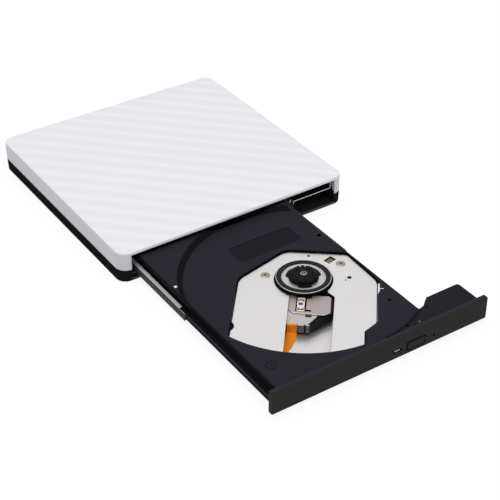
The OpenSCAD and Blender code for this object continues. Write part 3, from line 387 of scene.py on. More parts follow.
def glassEpoxyBoard(look):
    # glass-epoxy board under green solder mask: paler tracks that turn square corners
    material, tree, place = newMaterial("glassEpoxyBoard")
    mask = hexColour(look["mask"])
    tracks = addNode(tree, "TexBrick", {"Color1": mask, "Color2": mask,
                                        "Mortar": hexColour(look["track"]),
                                        "Scale": perMetre(look["cell"]),
                                        "Mortar Size": look["line"], "Brick Width": look["run"],
                                        "Row Height": look["row"]}, {"Vector": place})
    bump = addNode(tree, "Bump", {"Strength": 0.1, "Distance": mm(0.03)},
                   {"Height": tracks.outputs["Fac"]})
    shader = addNode(tree, "BsdfPrincipled", {"Roughness": look["roughness"]},
                     {"Base Color": tracks.outputs["Color"], "Normal": bump.outputs[0]})
    addNode(tree, "OutputMaterial", links={"Surface": shader.outputs[0]})
    return material


films = {
    # polyimide film: amber orange, with the copper tracks a shade deeper along the ribbon
    "polyimide": {"name": "polyimideFilm", "film": "#F8901C", "track": "#E8801A", "pitch": 0.9,
                  "turn": slotTurn - 90, "roughness": 0.4, "specular": 0.12},
    # flat cable in black polyester film: the conductors a millimetre apart show a shade paler
    "ribbon_film": {"name": "polyesterRibbon", "film": "#141416", "track": "#1E1E21", "pitch": 1.0,
                    "turn": 0, "roughness": 0.36, "specular": 0.5},
}


def trackedFilm(look):  # a smooth film over tracks that run along it
    material, tree, place = newMaterial(look["name"])
    turned = addNode(tree, "Mapping", {"Rotation": (0, 0, math.radians(look["turn"]))},
                     {"Vector": place})
    tracks = addNode(tree, "TexWave", {"Scale": bandScale(look["pitch"])},
                     {"Vector": turned.outputs[0]})
    tint = addNode(tree, "Mix", {6: hexColour(look["film"]), 7: hexColour(look["track"])},
                   {0: tracks.outputs["Fac"]}, data_type="RGBA")
    shader = addNode(tree, "BsdfPrincipled", {"Roughness": look["roughness"],
                                              "Specular IOR Level": look["specular"]},
                     {"Base Color": tint.outputs[2]})
    addNode(tree, "OutputMaterial", links={"Surface": shader.outputs[0]})
    return material


clearPieces = {
    # frosted acrylic: milky white, so the light spreads in it
    "light_acrylic": {"name": "frostedAcrylic", "tint": "#F7F8FA", "deep": "#E9EDF2", "ior": 1.49,
                      "roughness": 0.3, "clear": 0.25, "cloud": 1.5},
    # coated lens glass: a deep blue reflection from its thin coat
    "lens_glass": {"name": "coatedLensGlass", "tint": "#3A62D8", "deep": "#1C3CA4", "ior": 1.55,
                   "roughness": 0.05, "clear": 0.35, "cloud": 0.8},
}


def clearMoulding(look):
    # clear moulding: light enters and scatters, a smooth bright skin
    material, tree, place = newMaterial(look["name"])
    cloud = addNode(tree, "TexNoise", {"Scale": perMetre(look["cloud"])}, {"Vector": place})
    tint = addNode(tree, "Mix", {6: hexColour(look["deep"]), 7: hexColour(look["tint"])},
                   {0: cloud.outputs["Fac"]}, data_type="RGBA")
    shader = addNode(tree, "BsdfPrincipled", {"IOR": look["ior"], "Roughness": look["roughness"],
                                              "Transmission Weight": look["clear"]},
                     {"Base Color": tint.outputs[2]})
    addNode(tree, "OutputMaterial", links={"Surface": shader.outputs[0]})
    return material


finishes = {"white_abs": mouldedWhiteAbs(whiteCase), "zinc_sheet": galvanisedSheet(zincSheet),
            "board_laminate": glassEpoxyBoard(circuitBoard)}
finishes.update({finish: mouldedResin(*look) for finish, look in resins.items()})
finishes.update({finish: rolledMetal(*look) for finish, look in metals.items()})
finishes.update({finish: trackedFilm(look) for finish, look in films.items()})
finishes.update({finish: clearMoulding(look) for finish, look in clearPieces.items()})

record = frame["record"]
slotOf = {row["node"]: row["material_slot"] for row in record["subparts"]}
bodyOf = {node: body for body, nodes in record["behaviour"]["bodies"].items() for node in nodes}
for nodeName, solid in frame["nodes"].items():
    solid.data.materials.clear()
    solid.data.materials.append(finishes[slotOf[nodeName]])
print("finishes made:", len(finishes))


# modelling helpers: a point is drawn out to an outline, which is raised or spun

spindleSpot = (1.4, -67)
slotAlong = (-0.62592, -0.77988)  # the pickup's way, from the spindle outwards
mergeReach = 0.002  # points nearer to each other than this, in mm, become one
flatAngle, smoothAngle = 0.5, 32  # in degrees: faces that become one, edges that are shaded smooth
overcut = 1  # how far a cutter stands out beyond what it cuts, in mm


def slotSpot(along, across):  # a place counted along and across the pickup slot
    (x, y), (ux, uy) = spindleSpot, slotAlong
    return x + along * ux - across * uy, y + along * uy + across * ux


def slotPlace(x, y):  # and such a place counted back from x and y
    dx, dy, (ux, uy) = x - spindleSpot[0], y - spindleSpot[1], slotAlong
    return dx * ux + dy * uy, dy * ux - dx * uy


def slotOutline(spots):
    return [slotSpot(*spot) for spot in spots]


def slotBox(a0, a1, b0, b1):
    return slotOutline(((a0, b0), (a1, b0), (a1, b1), (a0, b1)))


def roundBox(x0, x1, y0, y1, radius, steps=2):  # outline of a plate with rounded corners
    corners = ((x1 - radius, y1 - radius, 0), (x0 + radius, y1 - radius, 90),
               (x0 + radius, y0 + radius, 180), (x1 - radius, y0 + radius, 270))
    return [(x + radius * math.cos(math.radians(turn + 90 * i / steps)),
             y + radius * math.sin(math.radians(turn + 90 * i / steps)))
            for x, y, turn in corners for i in range(steps + 1)]


def turnStep(x, y, turn):  # a step in plan, turned by these degrees
    c, s = math.cos(math.radians(turn)), math.sin(math.radians(turn))
    return x * c - y * s, x * s + y * c


def turnedBox(middle, half, turn):  # corners of a rectangle turned in plan
    steps = [turnStep(i * half[0], j * half[1], turn)
             for i, j in ((-1, -1), (1, -1), (1, 1), (-1, 1))]
    return [(middle[0] + dx, middle[1] + dy) for dx, dy in steps]


def openMesh(piece, action="SELECT"):  # edit mode, with everything or nothing selected
    selectOnly(piece)
    bpy.ops.object.mode_set(mode="EDIT")
    bpy.ops.mesh.select_all(action=action)


def leaveMesh():
    bpy.ops.object.mode_set(mode="OBJECT")


def extrude(step):
    bpy.ops.mesh.extrude_region_move(TRANSFORM_OT_translate={"value": step})


def startPoint(name, point):
    bpy.ops.object.select_all(action="DESELECT")
    bpy.ops.mesh.primitive_plane_add(size=mm(1), location=mm(*point))
    piece = bpy.context.object
    piece.name = piece.data.name = name
    bpy.ops.object.transform_apply(location=True, rotation=False, scale=False)
    openMesh(piece)
    bpy.ops.mesh.merge(type="CENTER")
    return piece


def drawAlong(points):
    for start, end in zip(points, points[1:]):
        extrude(tuple(mm(e - s) for s, e in zip(start, end)))
    bpy.ops.mesh.select_all(action="SELECT")


def closeMesh():
    bpy.ops.mesh.select_all(action="SELECT")
    bpy.ops.mesh.remove_doubles(threshold=mm(mergeReach))
    bpy.ops.mesh.normals_make_consistent(inside=False)
    leaveMesh()


def raisePlate(name, outline, low, high):  # an outline in plan, raised from one height to another
    points = [(x, y, low) for x, y in outline]
    piece = startPoint(name, points[0])
    drawAlong(points)
    bpy.ops.mesh.edge_face_add()
    extrude((0, 0, mm(high - low)))
    closeMesh()
    return piece


def spinRound(name, profile, centre, steps=72):  # radii and heights, spun about an upright axis
    points = [(centre[0] + radius, centre[1], height) for radius, height in profile]
    piece = startPoint(name, points[0])
    drawAlong(points)
    bpy.ops.mesh.spin(steps=steps, angle=2 * math.pi, center=mm(*centre, 0), axis=(0, 0, 1))
    closeMesh()
    return piece


def drillBit(name, radius, low, high, centre, steps=72):
    low, high = low - overcut, high + overcut
    return spinRound(name, [(0, low), (radius, low), (radius, high), (0, high)], centre, steps)


def combine(piece, operation, *others):
    for other in others:
        useModifier(piece, "BOOLEAN", operation=operation, solver="EXACT", object=other)
        bpy.data.objects.remove(other)


def joinPlates(piece, outlines, low, high):
    for outline in outlines:
        combine(piece, "UNION", raisePlate("patch", outline, low, high))


def repeatInside(piece, steps):  # more of the same form within one mesh, each a step from the last
    openMesh(piece)
    for step in steps:
        bpy.ops.mesh.duplicate_move(TRANSFORM_OT_translate={"value": mm(*step)})
    leaveMesh()


def turnAbout(piece, turn, centre):
    openMesh(piece)
    bpy.ops.transform.rotate(value=-math.radians(turn), orient_axis="Z",
                             center_override=mm(*centre, 0))
    leaveMesh()


def copyOf(piece, name, step):
    selectOnly(piece)
    bpy.ops.object.duplicate()
    copy = bpy.context.object
    copy.name = copy.data.name = name
    openMesh(copy)
    bpy.ops.transform.translate(value=mm(*step))
    leaveMesh()
    return copy


def roundWhere(piece, width, segments, where):  # edges whose ends are both picked are rounded off
    openMesh(piece, "DESELECT")
    bpy.ops.mesh.select_mode(type="EDGE")
    leaveMesh()
    for edge in piece.data.edges:
        edge.select = all(where(piece.data.vertices[i].co * 1000) for i in edge.vertices)
    bpy.ops.object.mode_set(mode="EDIT")
    bpy.ops.mesh.bevel(offset=mm(width), segments=segments, affect="EDGES")
    bpy.ops.mesh.select_mode(type="VERT")
    leaveMesh()


def splitFaces(piece):  # faces with many sides become triangles, which stay flat when edges move
    openMesh(piece, "DESELECT")
    bpy.ops.mesh.select_face_by_sides(number=4, type="GREATER", extend=False)
    bpy.ops.mesh.quads_convert_to_tris(quad_method="BEAUTY", ngon_method="BEAUTY")
    leaveMesh()


def smoothEdges(piece, width=0, angle=40, segments=2):
    if width:
        useModifier(piece, "BEVEL", width=mm(width), segments=segments, limit_method="ANGLE",
                    angle_limit=math.radians(angle), use_clamp_overlap=False)
    selectOnly(piece)
    bpy.ops.object.shade_smooth_by_angle(angle=math.radians(smoothAngle))
    useModifier(piece, "WEIGHTED_NORMAL", keep_sharp=True)


def spinCopies(profile, places, steps):  # a spun piece for each node, modelled once
    (firstNode, home), *others = places.items()
    first = spinRound(pieceName(firstNode), profile, home, steps)
    smoothEdges(first)
    copies = {node: copyOf(first, pieceName(node), (x - home[0], y - home[1], 0))
              for node, (x, y) in others}
    return {firstNode: first, **copies}


def fit(piece, body, slot, finish, *nodes):  # finish, body and the solids that it stands for
    piece.data.materials.clear()
    piece.data.materials.append(finishes[finish])
    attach(piece, body)
    if nodes:
        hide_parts(*nodes)
    return piece


def dress(piece, edge, body, slot, finish, *nodes):  # edges of this width broken, then fitted
    smoothEdges(piece, edge)
    return fit(piece, body, slot, finish, *nodes)


def faceMeasures(face, centre):  # place in mm, also along the slot and out from a centre, and normal
    (x, y, z), (nx, ny, nz) = face.center * 1000, face.normal
    along, across = slotPlace(x, y)
    return {"x": x, "y": y, "z": z, "along": along, "across": across,
            "out": math.dist((x, y), centre), "nx": nx, "ny": ny, "nz": nz,
            "nAlong": nx * slotAlong[0] + ny * slotAlong[1]}


def paint(piece, finish, centre=spindleSpot, **limits):
    # faces with all these measures between their limits take a second finish
    slots, material = piece.data.materials, finishes[finish]
    if material.name not in slots:
        slots.append(material)
    for face in piece.data.polygons:
        found = faceMeasures(face, centre)
        if all(low < found[key] < high for key, (low, high) in limits.items()):
            face.material_index = slots.find(material.name)


# traverse cover: the corner by the turntable, the turned window and the notch of the left edge

coverLook = {
    "heights": (10.1, 10.6), "notch": ((41.1, -35.94), 4.87),
    "closed": (-20.6, -15.8, 10.8, 15.6),  # the window that the solid has
    "corner": [(-0.2, 15.1), (1.5, 15.02), (3, 14.8), (5, 14.25), (6.6, 13.58), (8.1, 12.74),
               (8.7, 12.6), (9.9, 12.95), (12, 14.9), (13.4, 16.45), (-0.2, 16.45)],
    "window": {"middle": (22.35, -60.82), "half": (2.8, 2.05), "turn": 12.5},
    "rounded": {(-23, -10.8): (3.5, 3.2), (-23, 20.9): (2.4, 0), (-0.8, 37): (3, 1.7),
                (3.2, -32.4): (3.5, 3.2)},  # corner: width on the plate, width on its opening
    "reach": 1.3, "segments": 5, "pocketRoom": 0.3, "pocketHeights": (9.4, 11),
}


def roundCorners(piece, which):  # upright edges at the corners of the plate (0) or its opening (1)
    for corner, widths in coverLook["rounded"].items():
        if widths[which]:
            roundWhere(piece, widths[which], coverLook["segments"],
                       lambda spot: math.dist(slotSpot(*corner), spot[:2]) < coverLook["reach"])


def shapeCover(piece):
    low, high = coverLook["heights"]
    roundCorners(piece, 0)
    joinPlates(piece, (slotOutline(coverLook["corner"]), slotBox(*coverLook["closed"])), low, high)
    spot, radius = coverLook["notch"]
    window = turnedBox(**coverLook["window"])
    combine(piece, "DIFFERENCE", raisePlate("coverWindow", window, low - overcut, high + overcut),
            drillBit("coverNotch", radius, low, high, slotSpot(*spot)))


def shapeFrame(piece):  # pocket of the contact board
    window = coverLook["window"]
    half = tuple(size + coverLook["pocketRoom"] for size in window["half"])
    outline = turnedBox(window["middle"], half, window["turn"])
    combine(piece, "DIFFERENCE", raisePlate("framePocket", outline, *coverLook["pocketHeights"]))


# cover and board of the pickup

pickupLook = {
    "cuts": ((11.0, 13.75, -2.75, 4.9), (23.6, 25.2, 2.0, 5.2)), "cutHeights": (8.9, 11),
    "cover": (12.2, 24.3, -6.25, -5.7), "coverHeights": (9.5, 9.9),
    "board": ((26.4, 35.1, -6.25, -5.7), (24.4, 26.6, -6.25, -3.4)), "boardHeights": (9.0, 9.4),
}


def shapePickupCover(piece):  # as wide as its slot, and the window runs out at the turntable's side
    joinPlates(piece, [slotBox(*pickupLook["cover"])], *pickupLook["coverHeights"])
    for cut in pickupLook["cuts"]:
        slot = raisePlate("coverSlot", slotBox(*cut), *pickupLook["cutHeights"])
        combine(piece, "DIFFERENCE", slot)


def shapePickupBoard(piece):
    plates = [slotBox(*plate) for plate in pickupLook["board"]]
    joinPlates(piece, plates, *pickupLook["boardHeights"])


# tray and rails: long edges rounded, each at a place across and a height

roundLook = {  # width in mm, segments, places
    "tray": (1.1, 4, ((-59.7, 14), (-58, 11.8))), "strip": (0.25, 2, ((-60.8, 7), (33, 14))),
    "leftRail": (0.42, 4, ((-61.55, 7.75),)), "rightRail": (0.42, 4, ((37.35, 7.75),)),
    "rim": (0.15, 2, (-58.3, 13.95, 32.7)),  # left end, lowest height, right end
}
lineReach = 0.02  # how near to its place an edge lies, in mm


def roundLong(piece, width, segments, lines):
    for x, z in lines:
        roundWhere(piece, width, segments,
                   lambda spot: abs(spot.x - x) < lineReach and abs(spot.z - z) < lineReach)


def shapeTray(piece):
    roundCorners(piece, 1)
    roundLong(piece, *roundLook["tray"])
    roundLong(piece, *roundLook["strip"])
    width, segments, (left, low, right) = roundLook["rim"]
    roundWhere(piece, width, segments, lambda spot: spot.z > low and left < spot.x < right)


def shapeRail(piece):
    roundLong(piece, *roundLook[piece.name])


# base and button

baseFlare = {"below": 1.25, "down": 0.6, "beyond": 66, "out": 0.4}
buttonLook = {"in": 0.14}


def shapeBase(piece):  # the skirt comes down and out a little, as the photograph shows it
    for vertex in piece.data.vertices:
        if vertex.co.z < mm(baseFlare["below"]):
            vertex.co.z -= mm(baseFlare["down"])
            if abs(vertex.co.x) > mm(baseFlare["beyond"]):
                vertex.co.x += math.copysign(mm(baseFlare["out"]), vertex.co.x)


def shapeButton(piece):  # a little smaller than its room, so that the gap shows
    for axis in (0, 2):
        places = [vertex.co[axis] for vertex in piece.data.vertices]
        middle, half = (min(places) + max(places)) / 2, (max(places) - min(places)) / 2
        for vertex in piece.data.vertices:
            vertex.co[axis] -= (vertex.co[axis] - middle) / half * mm(buttonLook["in"])


# solids of the CAD: reshaped where needed, and their sharp edges broken as the tool leaves them

brokenEdges = {  # node: width in mm (0 keeps the edges), least angle that is broken, finish
    "top_cover": (0.3, 50, "white_abs"), "base_shell": (0.1, 50, "base_abs"),
    "chassis_pan": (0.12, 50, "zinc_sheet"), "chassis_lid": (0.12, 50, "zinc_sheet"),
    "left_rail": (0.1, 50, "rail_web"), "right_rail": (0.1, 50, "rail_web"),
    "tray_frame": (0, 50, "tray_resin"), "front_bezel": (0.2, 50, "bezel_abs"),
    "eject_button": (0.2, 40, "bezel_abs"), "light_pipe": (0.1, 40, "light_acrylic"),
    "tray_bottom": (0.1, 50, "bright_sheet"), "traverse_cover": (0, 50, "bright_sheet"),
    "turntable": (0.08, 35, "pickup_resin"), "friction_ring": (0.08, 40, "rubber"),
    "spindle_hub": (0.12, 40, "hub_resin"), "hub_jaws": (0.1, 40, "hub_resin"),
    "pickup_body": (0.15, 40, "pickup_resin"), "pickup_cover": (0.18, 40, "pickup_alloy"),
    "pickup_board": (0.08, 40, "tinned_board"), "usb_socket": (0.08, 40, "bright_steel"),
    **{f"case_screw_{end}_{side}": (0.08, 40, "screw_steel")
       for end in ("front", "back") for side in ("left", "right")},
    "traverse_frame": (0.1, 50, "hub_resin"), "spindle_motor": (0.1, 40, "hub_resin"),
}
reshaped = {"traverse_cover": shapeCover, "traverse_frame": shapeFrame, "tray_frame": shapeTray,
            "pickup_cover": shapePickupCover, "pickup_board": shapePickupBoard,
            "left_rail": shapeRail, "right_rail": shapeRail, "base_shell": shapeBase,
            "eject_button": shapeButton}
splitFirst = ("top_cover", "base_shell", "eject_button", "left_rail", "right_rail", "pickup_body")


def breakEdges(node, width, angle, finish):
    selectOnly(frame["nodes"][node])
    bpy.ops.object.duplicate()
    piece = bpy.context.object
    piece.name = pieceName(node)
    del piece["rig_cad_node"]
    openMesh(piece)
    bpy.ops.mesh.remove_doubles(threshold=mm(mergeReach))
    bpy.ops.mesh.dissolve_limited(angle_limit=math.radians(flatAngle))
    bpy.ops.mesh.customdata_custom_splitnormals_clear()
    leaveMesh()
    if node in reshaped:
        reshaped[node](piece)
    if node in splitFirst:
        splitFaces(piece)
    smoothEdges(piece, width, angle)
    return fit(piece, bodyOf[node], slotOf[node], finish, node)


dressed = {node: breakEdges(node, *look) for node, look in brokenEdges.items()}
print("edges broken on", len(dressed), "solids")


# second finishes, and painted light and shade

far = math.inf
finishesAndPaintedLight = (  # node, finish, limits of the measures of its faces
    # tray: painted shade on the cone around the disc, the left slope, the left sides, the walls and
    # the strip's top; the sunk field etched; the front tops a shade darker; painted highlights along
    # the right top edge and the strip's edge
    # painted shade on the cone, which faces away from the light
    ("tray_frame", "tray_shade",
     {"out": (60.8, 63.8), "z": (11.81, far), "nz": (-far, 0.97), "nx": (-0.3, far)}),
    ("tray_frame", "tray_field", {"x": (-17.8, 20.6), "y": (-39.2, -24.8), "z": (11.45, 11.78)}),
    # the front tops a shade darker
    ("tray_frame", "wing_resin", {"nz": (0.5, far), "z": (13.8, far), "y": (-far, -100)}),
    # painted shade on the rounded left slope, a step lighter than the sides
    ("tray_frame", "tray_field", {"nx": (-0.5, -0.1), "x": (-far, -57)}),
    # painted shade on the sides that face left
    ("tray_frame", "tray_shade", {"nx": (-far, -0.5)}),
    # painted shade on the walls of the floor's openings, in the gaps
    ("tray_frame", "tray_shade", {"nz": (-0.3, 0.3), "z": (10.7, 11.9)}),
    # painted shadow on the strip's top, under the rim
    ("tray_frame", "tray_shade", {"x": (-far, -57.9), "z": (6.8, 7.2), "nz": (0.9, far)}),
    # painted highlight along the tray's right top edge
    ("tray_frame", "highlight_grey",
     {"nx": (0.2, far), "nz": (0.2, far), "z": (13.5, far), "x": (32.5, 33.1)}),
    # painted highlight along the strip's top edge
    ("tray_frame", "highlight_grey",
     {"nx": (-far, -0.2), "nz": (0.2, far), "z": (-far, 8), "x": (-far, -60)}),
    # painted shade on upright walls at the tray's front, in the opening
    ("tray_frame", "hub_resin", {"nz": (-0.3, 0.3), "y": (-far, -126.5), "x": (17, 20)}),
    # rails: painted light on the flange tops; chassis wing: painted shadow on its top, painted
    # highlight on its cut front edge; base: painted highlight on its lip
    ("left_rail", "flange_light", {"nz": (0.95, far)}),
    # painted highlight, a grey on the right rail's flange top
    ("right_rail", "highlight_grey", {"nz": (0.9, far)}),
    # painted shadow on the chassis wing's top, inside the case
    ("chassis_pan", "tray_shade", {"x": (33, far), "z": (10.4, far), "nz": (0.9, far)}),
    # painted highlight on the chassis wing's cut front edge
    ("chassis_pan", "edge_highlight", {"x": (36, far), "z": (8, far), "ny": (-far, -0.3)}),
    # painted highlight on the base's lit front lip
    ("base_shell", "highlight_grey", {"y": (-far, -7), "z": (-far, 2.6), "ny": (-far, -0.5)}),
    # pickup: painted shade on the top of the body, painted highlight on the outer edge of the cover,
    # plug on the board
    ("pickup_body", "hub_resin", {"z": (8.8, far), "nz": (0.9, far)}),
    ("pickup_cover", "bright_line", {"nz": (0.2, far), "nAlong": (0.3, far)}),
    ("pickup_board", "plug_resin", {"along": (35.12, far)}),
    # front: painted shade on the light pipe's shank, on the button's sides and in the openings; a
    # darker bluish copy painted on the bezel's top as shade
    ("light_pipe", "pickup_resin", {"y": (-133.4, far)}),
    ("eject_button", "hub_resin", {"ny": (-0.4, 0.4)}),
    ("front_bezel", "hub_resin", {"ny": (-0.5, 0.5), "z": (3.4, 10.2), "x": (-60, 60)}),
    ("front_bezel", "bezel_top", {"nz": (0.5, far), "z": (14, far)}),
)
for nodeName, finish, limits in finishesAndPaintedLight:
    paint(dressed[nodeName], finish, **limits)


# turntable: a bright turned line at its rim, a pale dished plate inside the rubber, two jaw clips

turntableLook = {
    "steps": 96, "plateEdge": 0.03, "pinSteps": 48,
    "line": [(13.82, 12.36), (13.9, 12.52), (14.1, 12.48), (14.18, 12.32), (13.82, 12.36)],
    "plate": [(6.4, 11.8), (10.86, 11.8), (10.86, 12.1), (11.36, 12.1), (11.36, 12.2),
              (10.74, 12.2), (10.6, 11.94), (6.4, 11.94), (6.4, 11.8)],
    "pin": [(0, 14.74), (0.5, 14.74), (0.56, 14.52), (1.02, 14.52), (1.08, 14.74), (1.55, 14.72),
            (1.76, 14.5), (1.78, 11.9), (1.18, 11.9), (1.18, 5.4), (0, 5.4)],
    # painted shade in the ring groove of the pin's end
    "groove": {"z": (14.48, 14.7), "out": (0.4, 1.12)},  # dark ring in the pin's end
    "clip": {"radius": 7.4, "size": (2.2, 0.5), "corner": 0.08, "edge": 0.04,
             "heights": (13.9, 14.72), "turn": 60, "sides": {"a": -1.25, "b": 1.25}},
}


def addTurntable(look):
    line = spinRound("turntableLine", look["line"], spindleSpot, look["steps"])
    dress(line, 0, "spindle", "bright_steel", "bright_line")
    plate = spinRound("turntablePlate", look["plate"], spindleSpot, look["steps"])
    dress(plate, look["plateEdge"], "spindle", "bright_steel", "pale_plate")
    pin = spinRound("spindlePin", look["pin"], spindleSpot, look["pinSteps"])
    dress(pin, 0, "spindle", "bright_steel", "pin_steel", "spindle_shaft")
    # painted shade in the pin's groove
    paint(pin, "hub_resin", **look["groove"])
    clip = look["clip"]
    (length, width), (x, y) = clip["size"], spindleSpot
    for mark, side in clip["sides"].items():
        outline = roundBox(x + clip["radius"] - length, x + clip["radius"],
                           y + side - width / 2, y + side + width / 2, clip["corner"])
        piece = raisePlate(f"jawClip{clip['turn']}{mark}", outline, *clip["heights"])
        turnAbout(piece, clip["turn"], spindleSpot)
        dress(piece, clip["edge"], "spindle", "bright_steel", "bright_line")


addTurntable(turntableLook)
print("turntable dressed")


# pickup: lens holder on its coils, the coated lens in its seat with a painted dark reflection on its
# back part, the cover's hem as a painted highlight, two small blocks

lensLook = {
    "holder": (13.95, 24.85, -1.95, 1.75), "heights": (8.7, 9.58), "lens": (19.1, -0.2),
    "holderEdge": 0.12, "bore": 1.28, "steps": 40, "darkReflectionReach": 0.35,
    "glass": [(0, 9.88), (0.5, 9.84), (0.95, 9.7), (1.28, 9.45), (1.28, 9.05), (0, 9.05)],
    "seat": [(1.28, 9.2), (1.3, 9.5), (1.42, 9.7), (1.75, 9.74), (1.92, 9.62), (1.92, 9.2),
             (1.28, 9.2)],
    "yokes": ((15.45, 1), (23.9, -1)), "yokeSides": (-1.55, 1.4), "bar": 0.85,
    "prong": (0.9, 0.5), "end": 0.3, "slack": 0.05,
    "hem": [(24.75, -5.6), (26.8, -3.8), (27.8, 11.4), (26.3, 13.7), (25.98, 13.5),
            (27.38, 11.3), (26.4, -3.62), (24.45, -5.3)],
    "hemHeights": (9.6, 9.95), "hemEdge": 0.08,
    "coils": ((15.3, 16.7, -2.45, -1.85), (21.4, 22.8, -2.45, -1.85), (14.5, 15.9, 1.65, 2.25),
              (22.8, 24.2, 1.65, 2.25)),
    "coilHeights": (8.0, 9.42), "coilEdge": 0.2,
    "block": ((27.75, 29.1, 2.5, 5.6), (27.7, 28.9, 8.7, 9.6)),
    "blockHeights": (9.4, 9.5), "blockEdge": 0.03,
}


def addHolder(look):
    (low, high), (b0, b1), (prong, thick) = look["heights"], look["yokeSides"], look["prong"]
    holder = raisePlate("lensHolder", slotBox(*look["holder"]), low, high)
    smoothEdges(holder, look["holderEdge"])
    for middle, way in look["yokes"]:  # slots for the yokes, a bar with two prongs
        back, tip = middle + look["bar"] * way, middle + (look["bar"] + prong) * way
        outline = [(middle, b0), (tip, b0), (tip, b0 + thick), (back, b0 + thick),
                   (back, b1 - thick), (tip, b1 - thick), (tip, b1), (middle, b1)]
        combine(holder, "DIFFERENCE",
                raisePlate("yokeSlot", slotOutline(outline), low - overcut, high + overcut))
    combine(holder, "DIFFERENCE",
            drillBit("lensBore", look["bore"], low, high, slotSpot(*look["lens"]), look["steps"]))
    dress(holder, 0, "lens", "lens_resin", "lens_resin", "lens_holder")
    # painted shade: the walls of the yokes' slots are dark
    paint(holder, "pad_board", nz=(-0.5, 0.5), across=(b0 - look["slack"], b1 + look["slack"]),
          along=(look["holder"][0] + look["end"], look["holder"][1] - look["end"]))


def addLens(look):
    seat = spinRound("lensSeat", look["seat"], slotSpot(*look["lens"]), look["steps"])
    dress(seat, 0, "lens", "lens_resin", "white_resin")
    glass = spinRound("objectiveLens", look["glass"], slotSpot(*look["lens"]), look["steps"])
    dress(glass, 0, "lens", "lens_glass", "lens_glass", "objective_lens")
    # painted reflection: the lens's back part dark
    paint(glass, "hub_resin", along=(-far, look["lens"][0] - look["darkReflectionReach"]))
    # the hem: a bright steel strip, a painted highlight along the cover's outer edge
    hem = raisePlate("coverHem", slotOutline(look["hem"]), *look["hemHeights"])
    dress(hem, look["hemEdge"], "pickup", "pickup_alloy", "bright_steel")
    for i, outline in enumerate(look["coils"]):  # the first stands for the solid of all four
        coil = raisePlate(f"lensCoil{i}", slotBox(*outline), *look["coilHeights"])
        smoothEdges(coil, look["coilEdge"], segments=3)
        fit(coil, "lens", "coil_wire", "coil_wire", *([] if i else ["lens_coils"]))
    for i, outline in enumerate(look["block"]):
        block = raisePlate(f"pickupBlock{i}", slotBox(*outline), *look["blockHeights"])
        dress(block, look["blockEdge"], "pickup", "pickup_resin", "hub_resin")


addHolder(lensLook)
addLens(lensLook)
print("pickup dressed")


# ribbon of the pickup: folded down the body's front, along the bottom plate and under the cover

flexLook = {
    "film": 0.12, "cuts": 3, "smooth": 40, "blend": ((38, -3.7), (56, -10)), "floor": 4.2,
    "stations": [  # along the slot, height, across the slot at one edge and at the other
        (35.15, 9.35, -5.95, -0.83), (35.5, 9.25, -5.98, -0.83), (35.72, 9.0, -6.0, -0.84),
        (35.82, 8.5, -6.02, -0.86), (35.9, 6.8, -6.05, -0.95), (35.95, 5.3, -6.1, -1.05),
        (36.1, 4.75, -6.1, -1.08), (36.5, 4.4, -6.12, -1.12), (37.2, 4.24, -6.15, -1.14),
        (39.4, 4.2, -6.3, -1.21), (42.1, 4.2, -6.7, -1.52), (45.6, 4.2, -7.5, -2.26),
        (50, 4.2, -9.2, -4.1), (54, 4.2, -11.4, -6.3), (57, 4.2, -13.4, -8.3)],
}


def addFlex(look):
    points = [(*slotSpot(a, b0), z) for a, z, b0, b1 in look["stations"]]
    piece = startPoint("pickupRibbon", points[0])
    drawAlong(points)
    a, z, b0, b1 = look["stations"][0]
    (x0, y0), (x1, y1) = slotSpot(a, b0), slotSpot(a, b1)
    extrude(mm(x1 - x0, y1 - y0, 0))
    leaveMesh()
    edge = [vertex for vertex in piece.data.vertices if vertex.select]
    for vertex, (a, z, b0, b1) in zip(edge, look["stations"]):  # the far edge has its own stations
        vertex.co = mm(*slotSpot(a, b1), z)
    openMesh(piece)
    bpy.ops.mesh.subdivide(number_cuts=look["cuts"])
    bpy.ops.mesh.normals_make_consistent(inside=False)
    leaveMesh()
    useModifier(piece, "SOLIDIFY", thickness=mm(look["film"]), offset=0)
    useModifier(piece, "SUBSURF", levels=1, render_levels=1)
    bpy.ops.object.shade_smooth_by_angle(angle=math.radians(look["smooth"]))
    piece.data.materials.append(finishes["polyimide"])
    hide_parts("flex_cable")
    (a0, b0), (a1, b1) = look["blend"]
    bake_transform(piece)


addFlex(flexLook)


# flat cable from the tray to the connector, laid flat; the real one folds up as the tray goes in

ribbonShape = {"sides": (-9, 9), "ends": (-12.95, 121.4), "middle": 3.43, "film": 0.12, "cuts": 60,
               "blend": (-8, 117)}


def addTrayRibbon(look):
    (x0, x1), (y0, y1), z = look["sides"], look["ends"], look["middle"]
    piece = startPoint("trayRibbon", (x0, y0, z))
    drawAlong([(x0, y0, z), (x1, y0, z)])
    step = mm(y1 - y0) / look["cuts"]
    for i in range(look["cuts"]):
        extrude((0, step, 0))
    closeMesh()
    useModifier(piece, "SOLIDIFY", thickness=mm(look["film"]), offset=0)
    piece.data.materials.append(finishes["ribbon_film"])
    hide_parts("tray_ribbon")
    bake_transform(piece)


addTrayRibbon(ribbonShape)
print("ribbons laid")


# foam strips between the drive and the cover: die-cut, pressed a little, so the sides pull in

foamLook = {"size": (24, 77), "heights": (15.5, 16.4), "middle": 58.55, "pull": 0.35, "cuts": 7,
            "edge": (0.15, 50), "places": {"foam_pad_left": -32, "foam_pad_right": 32}}


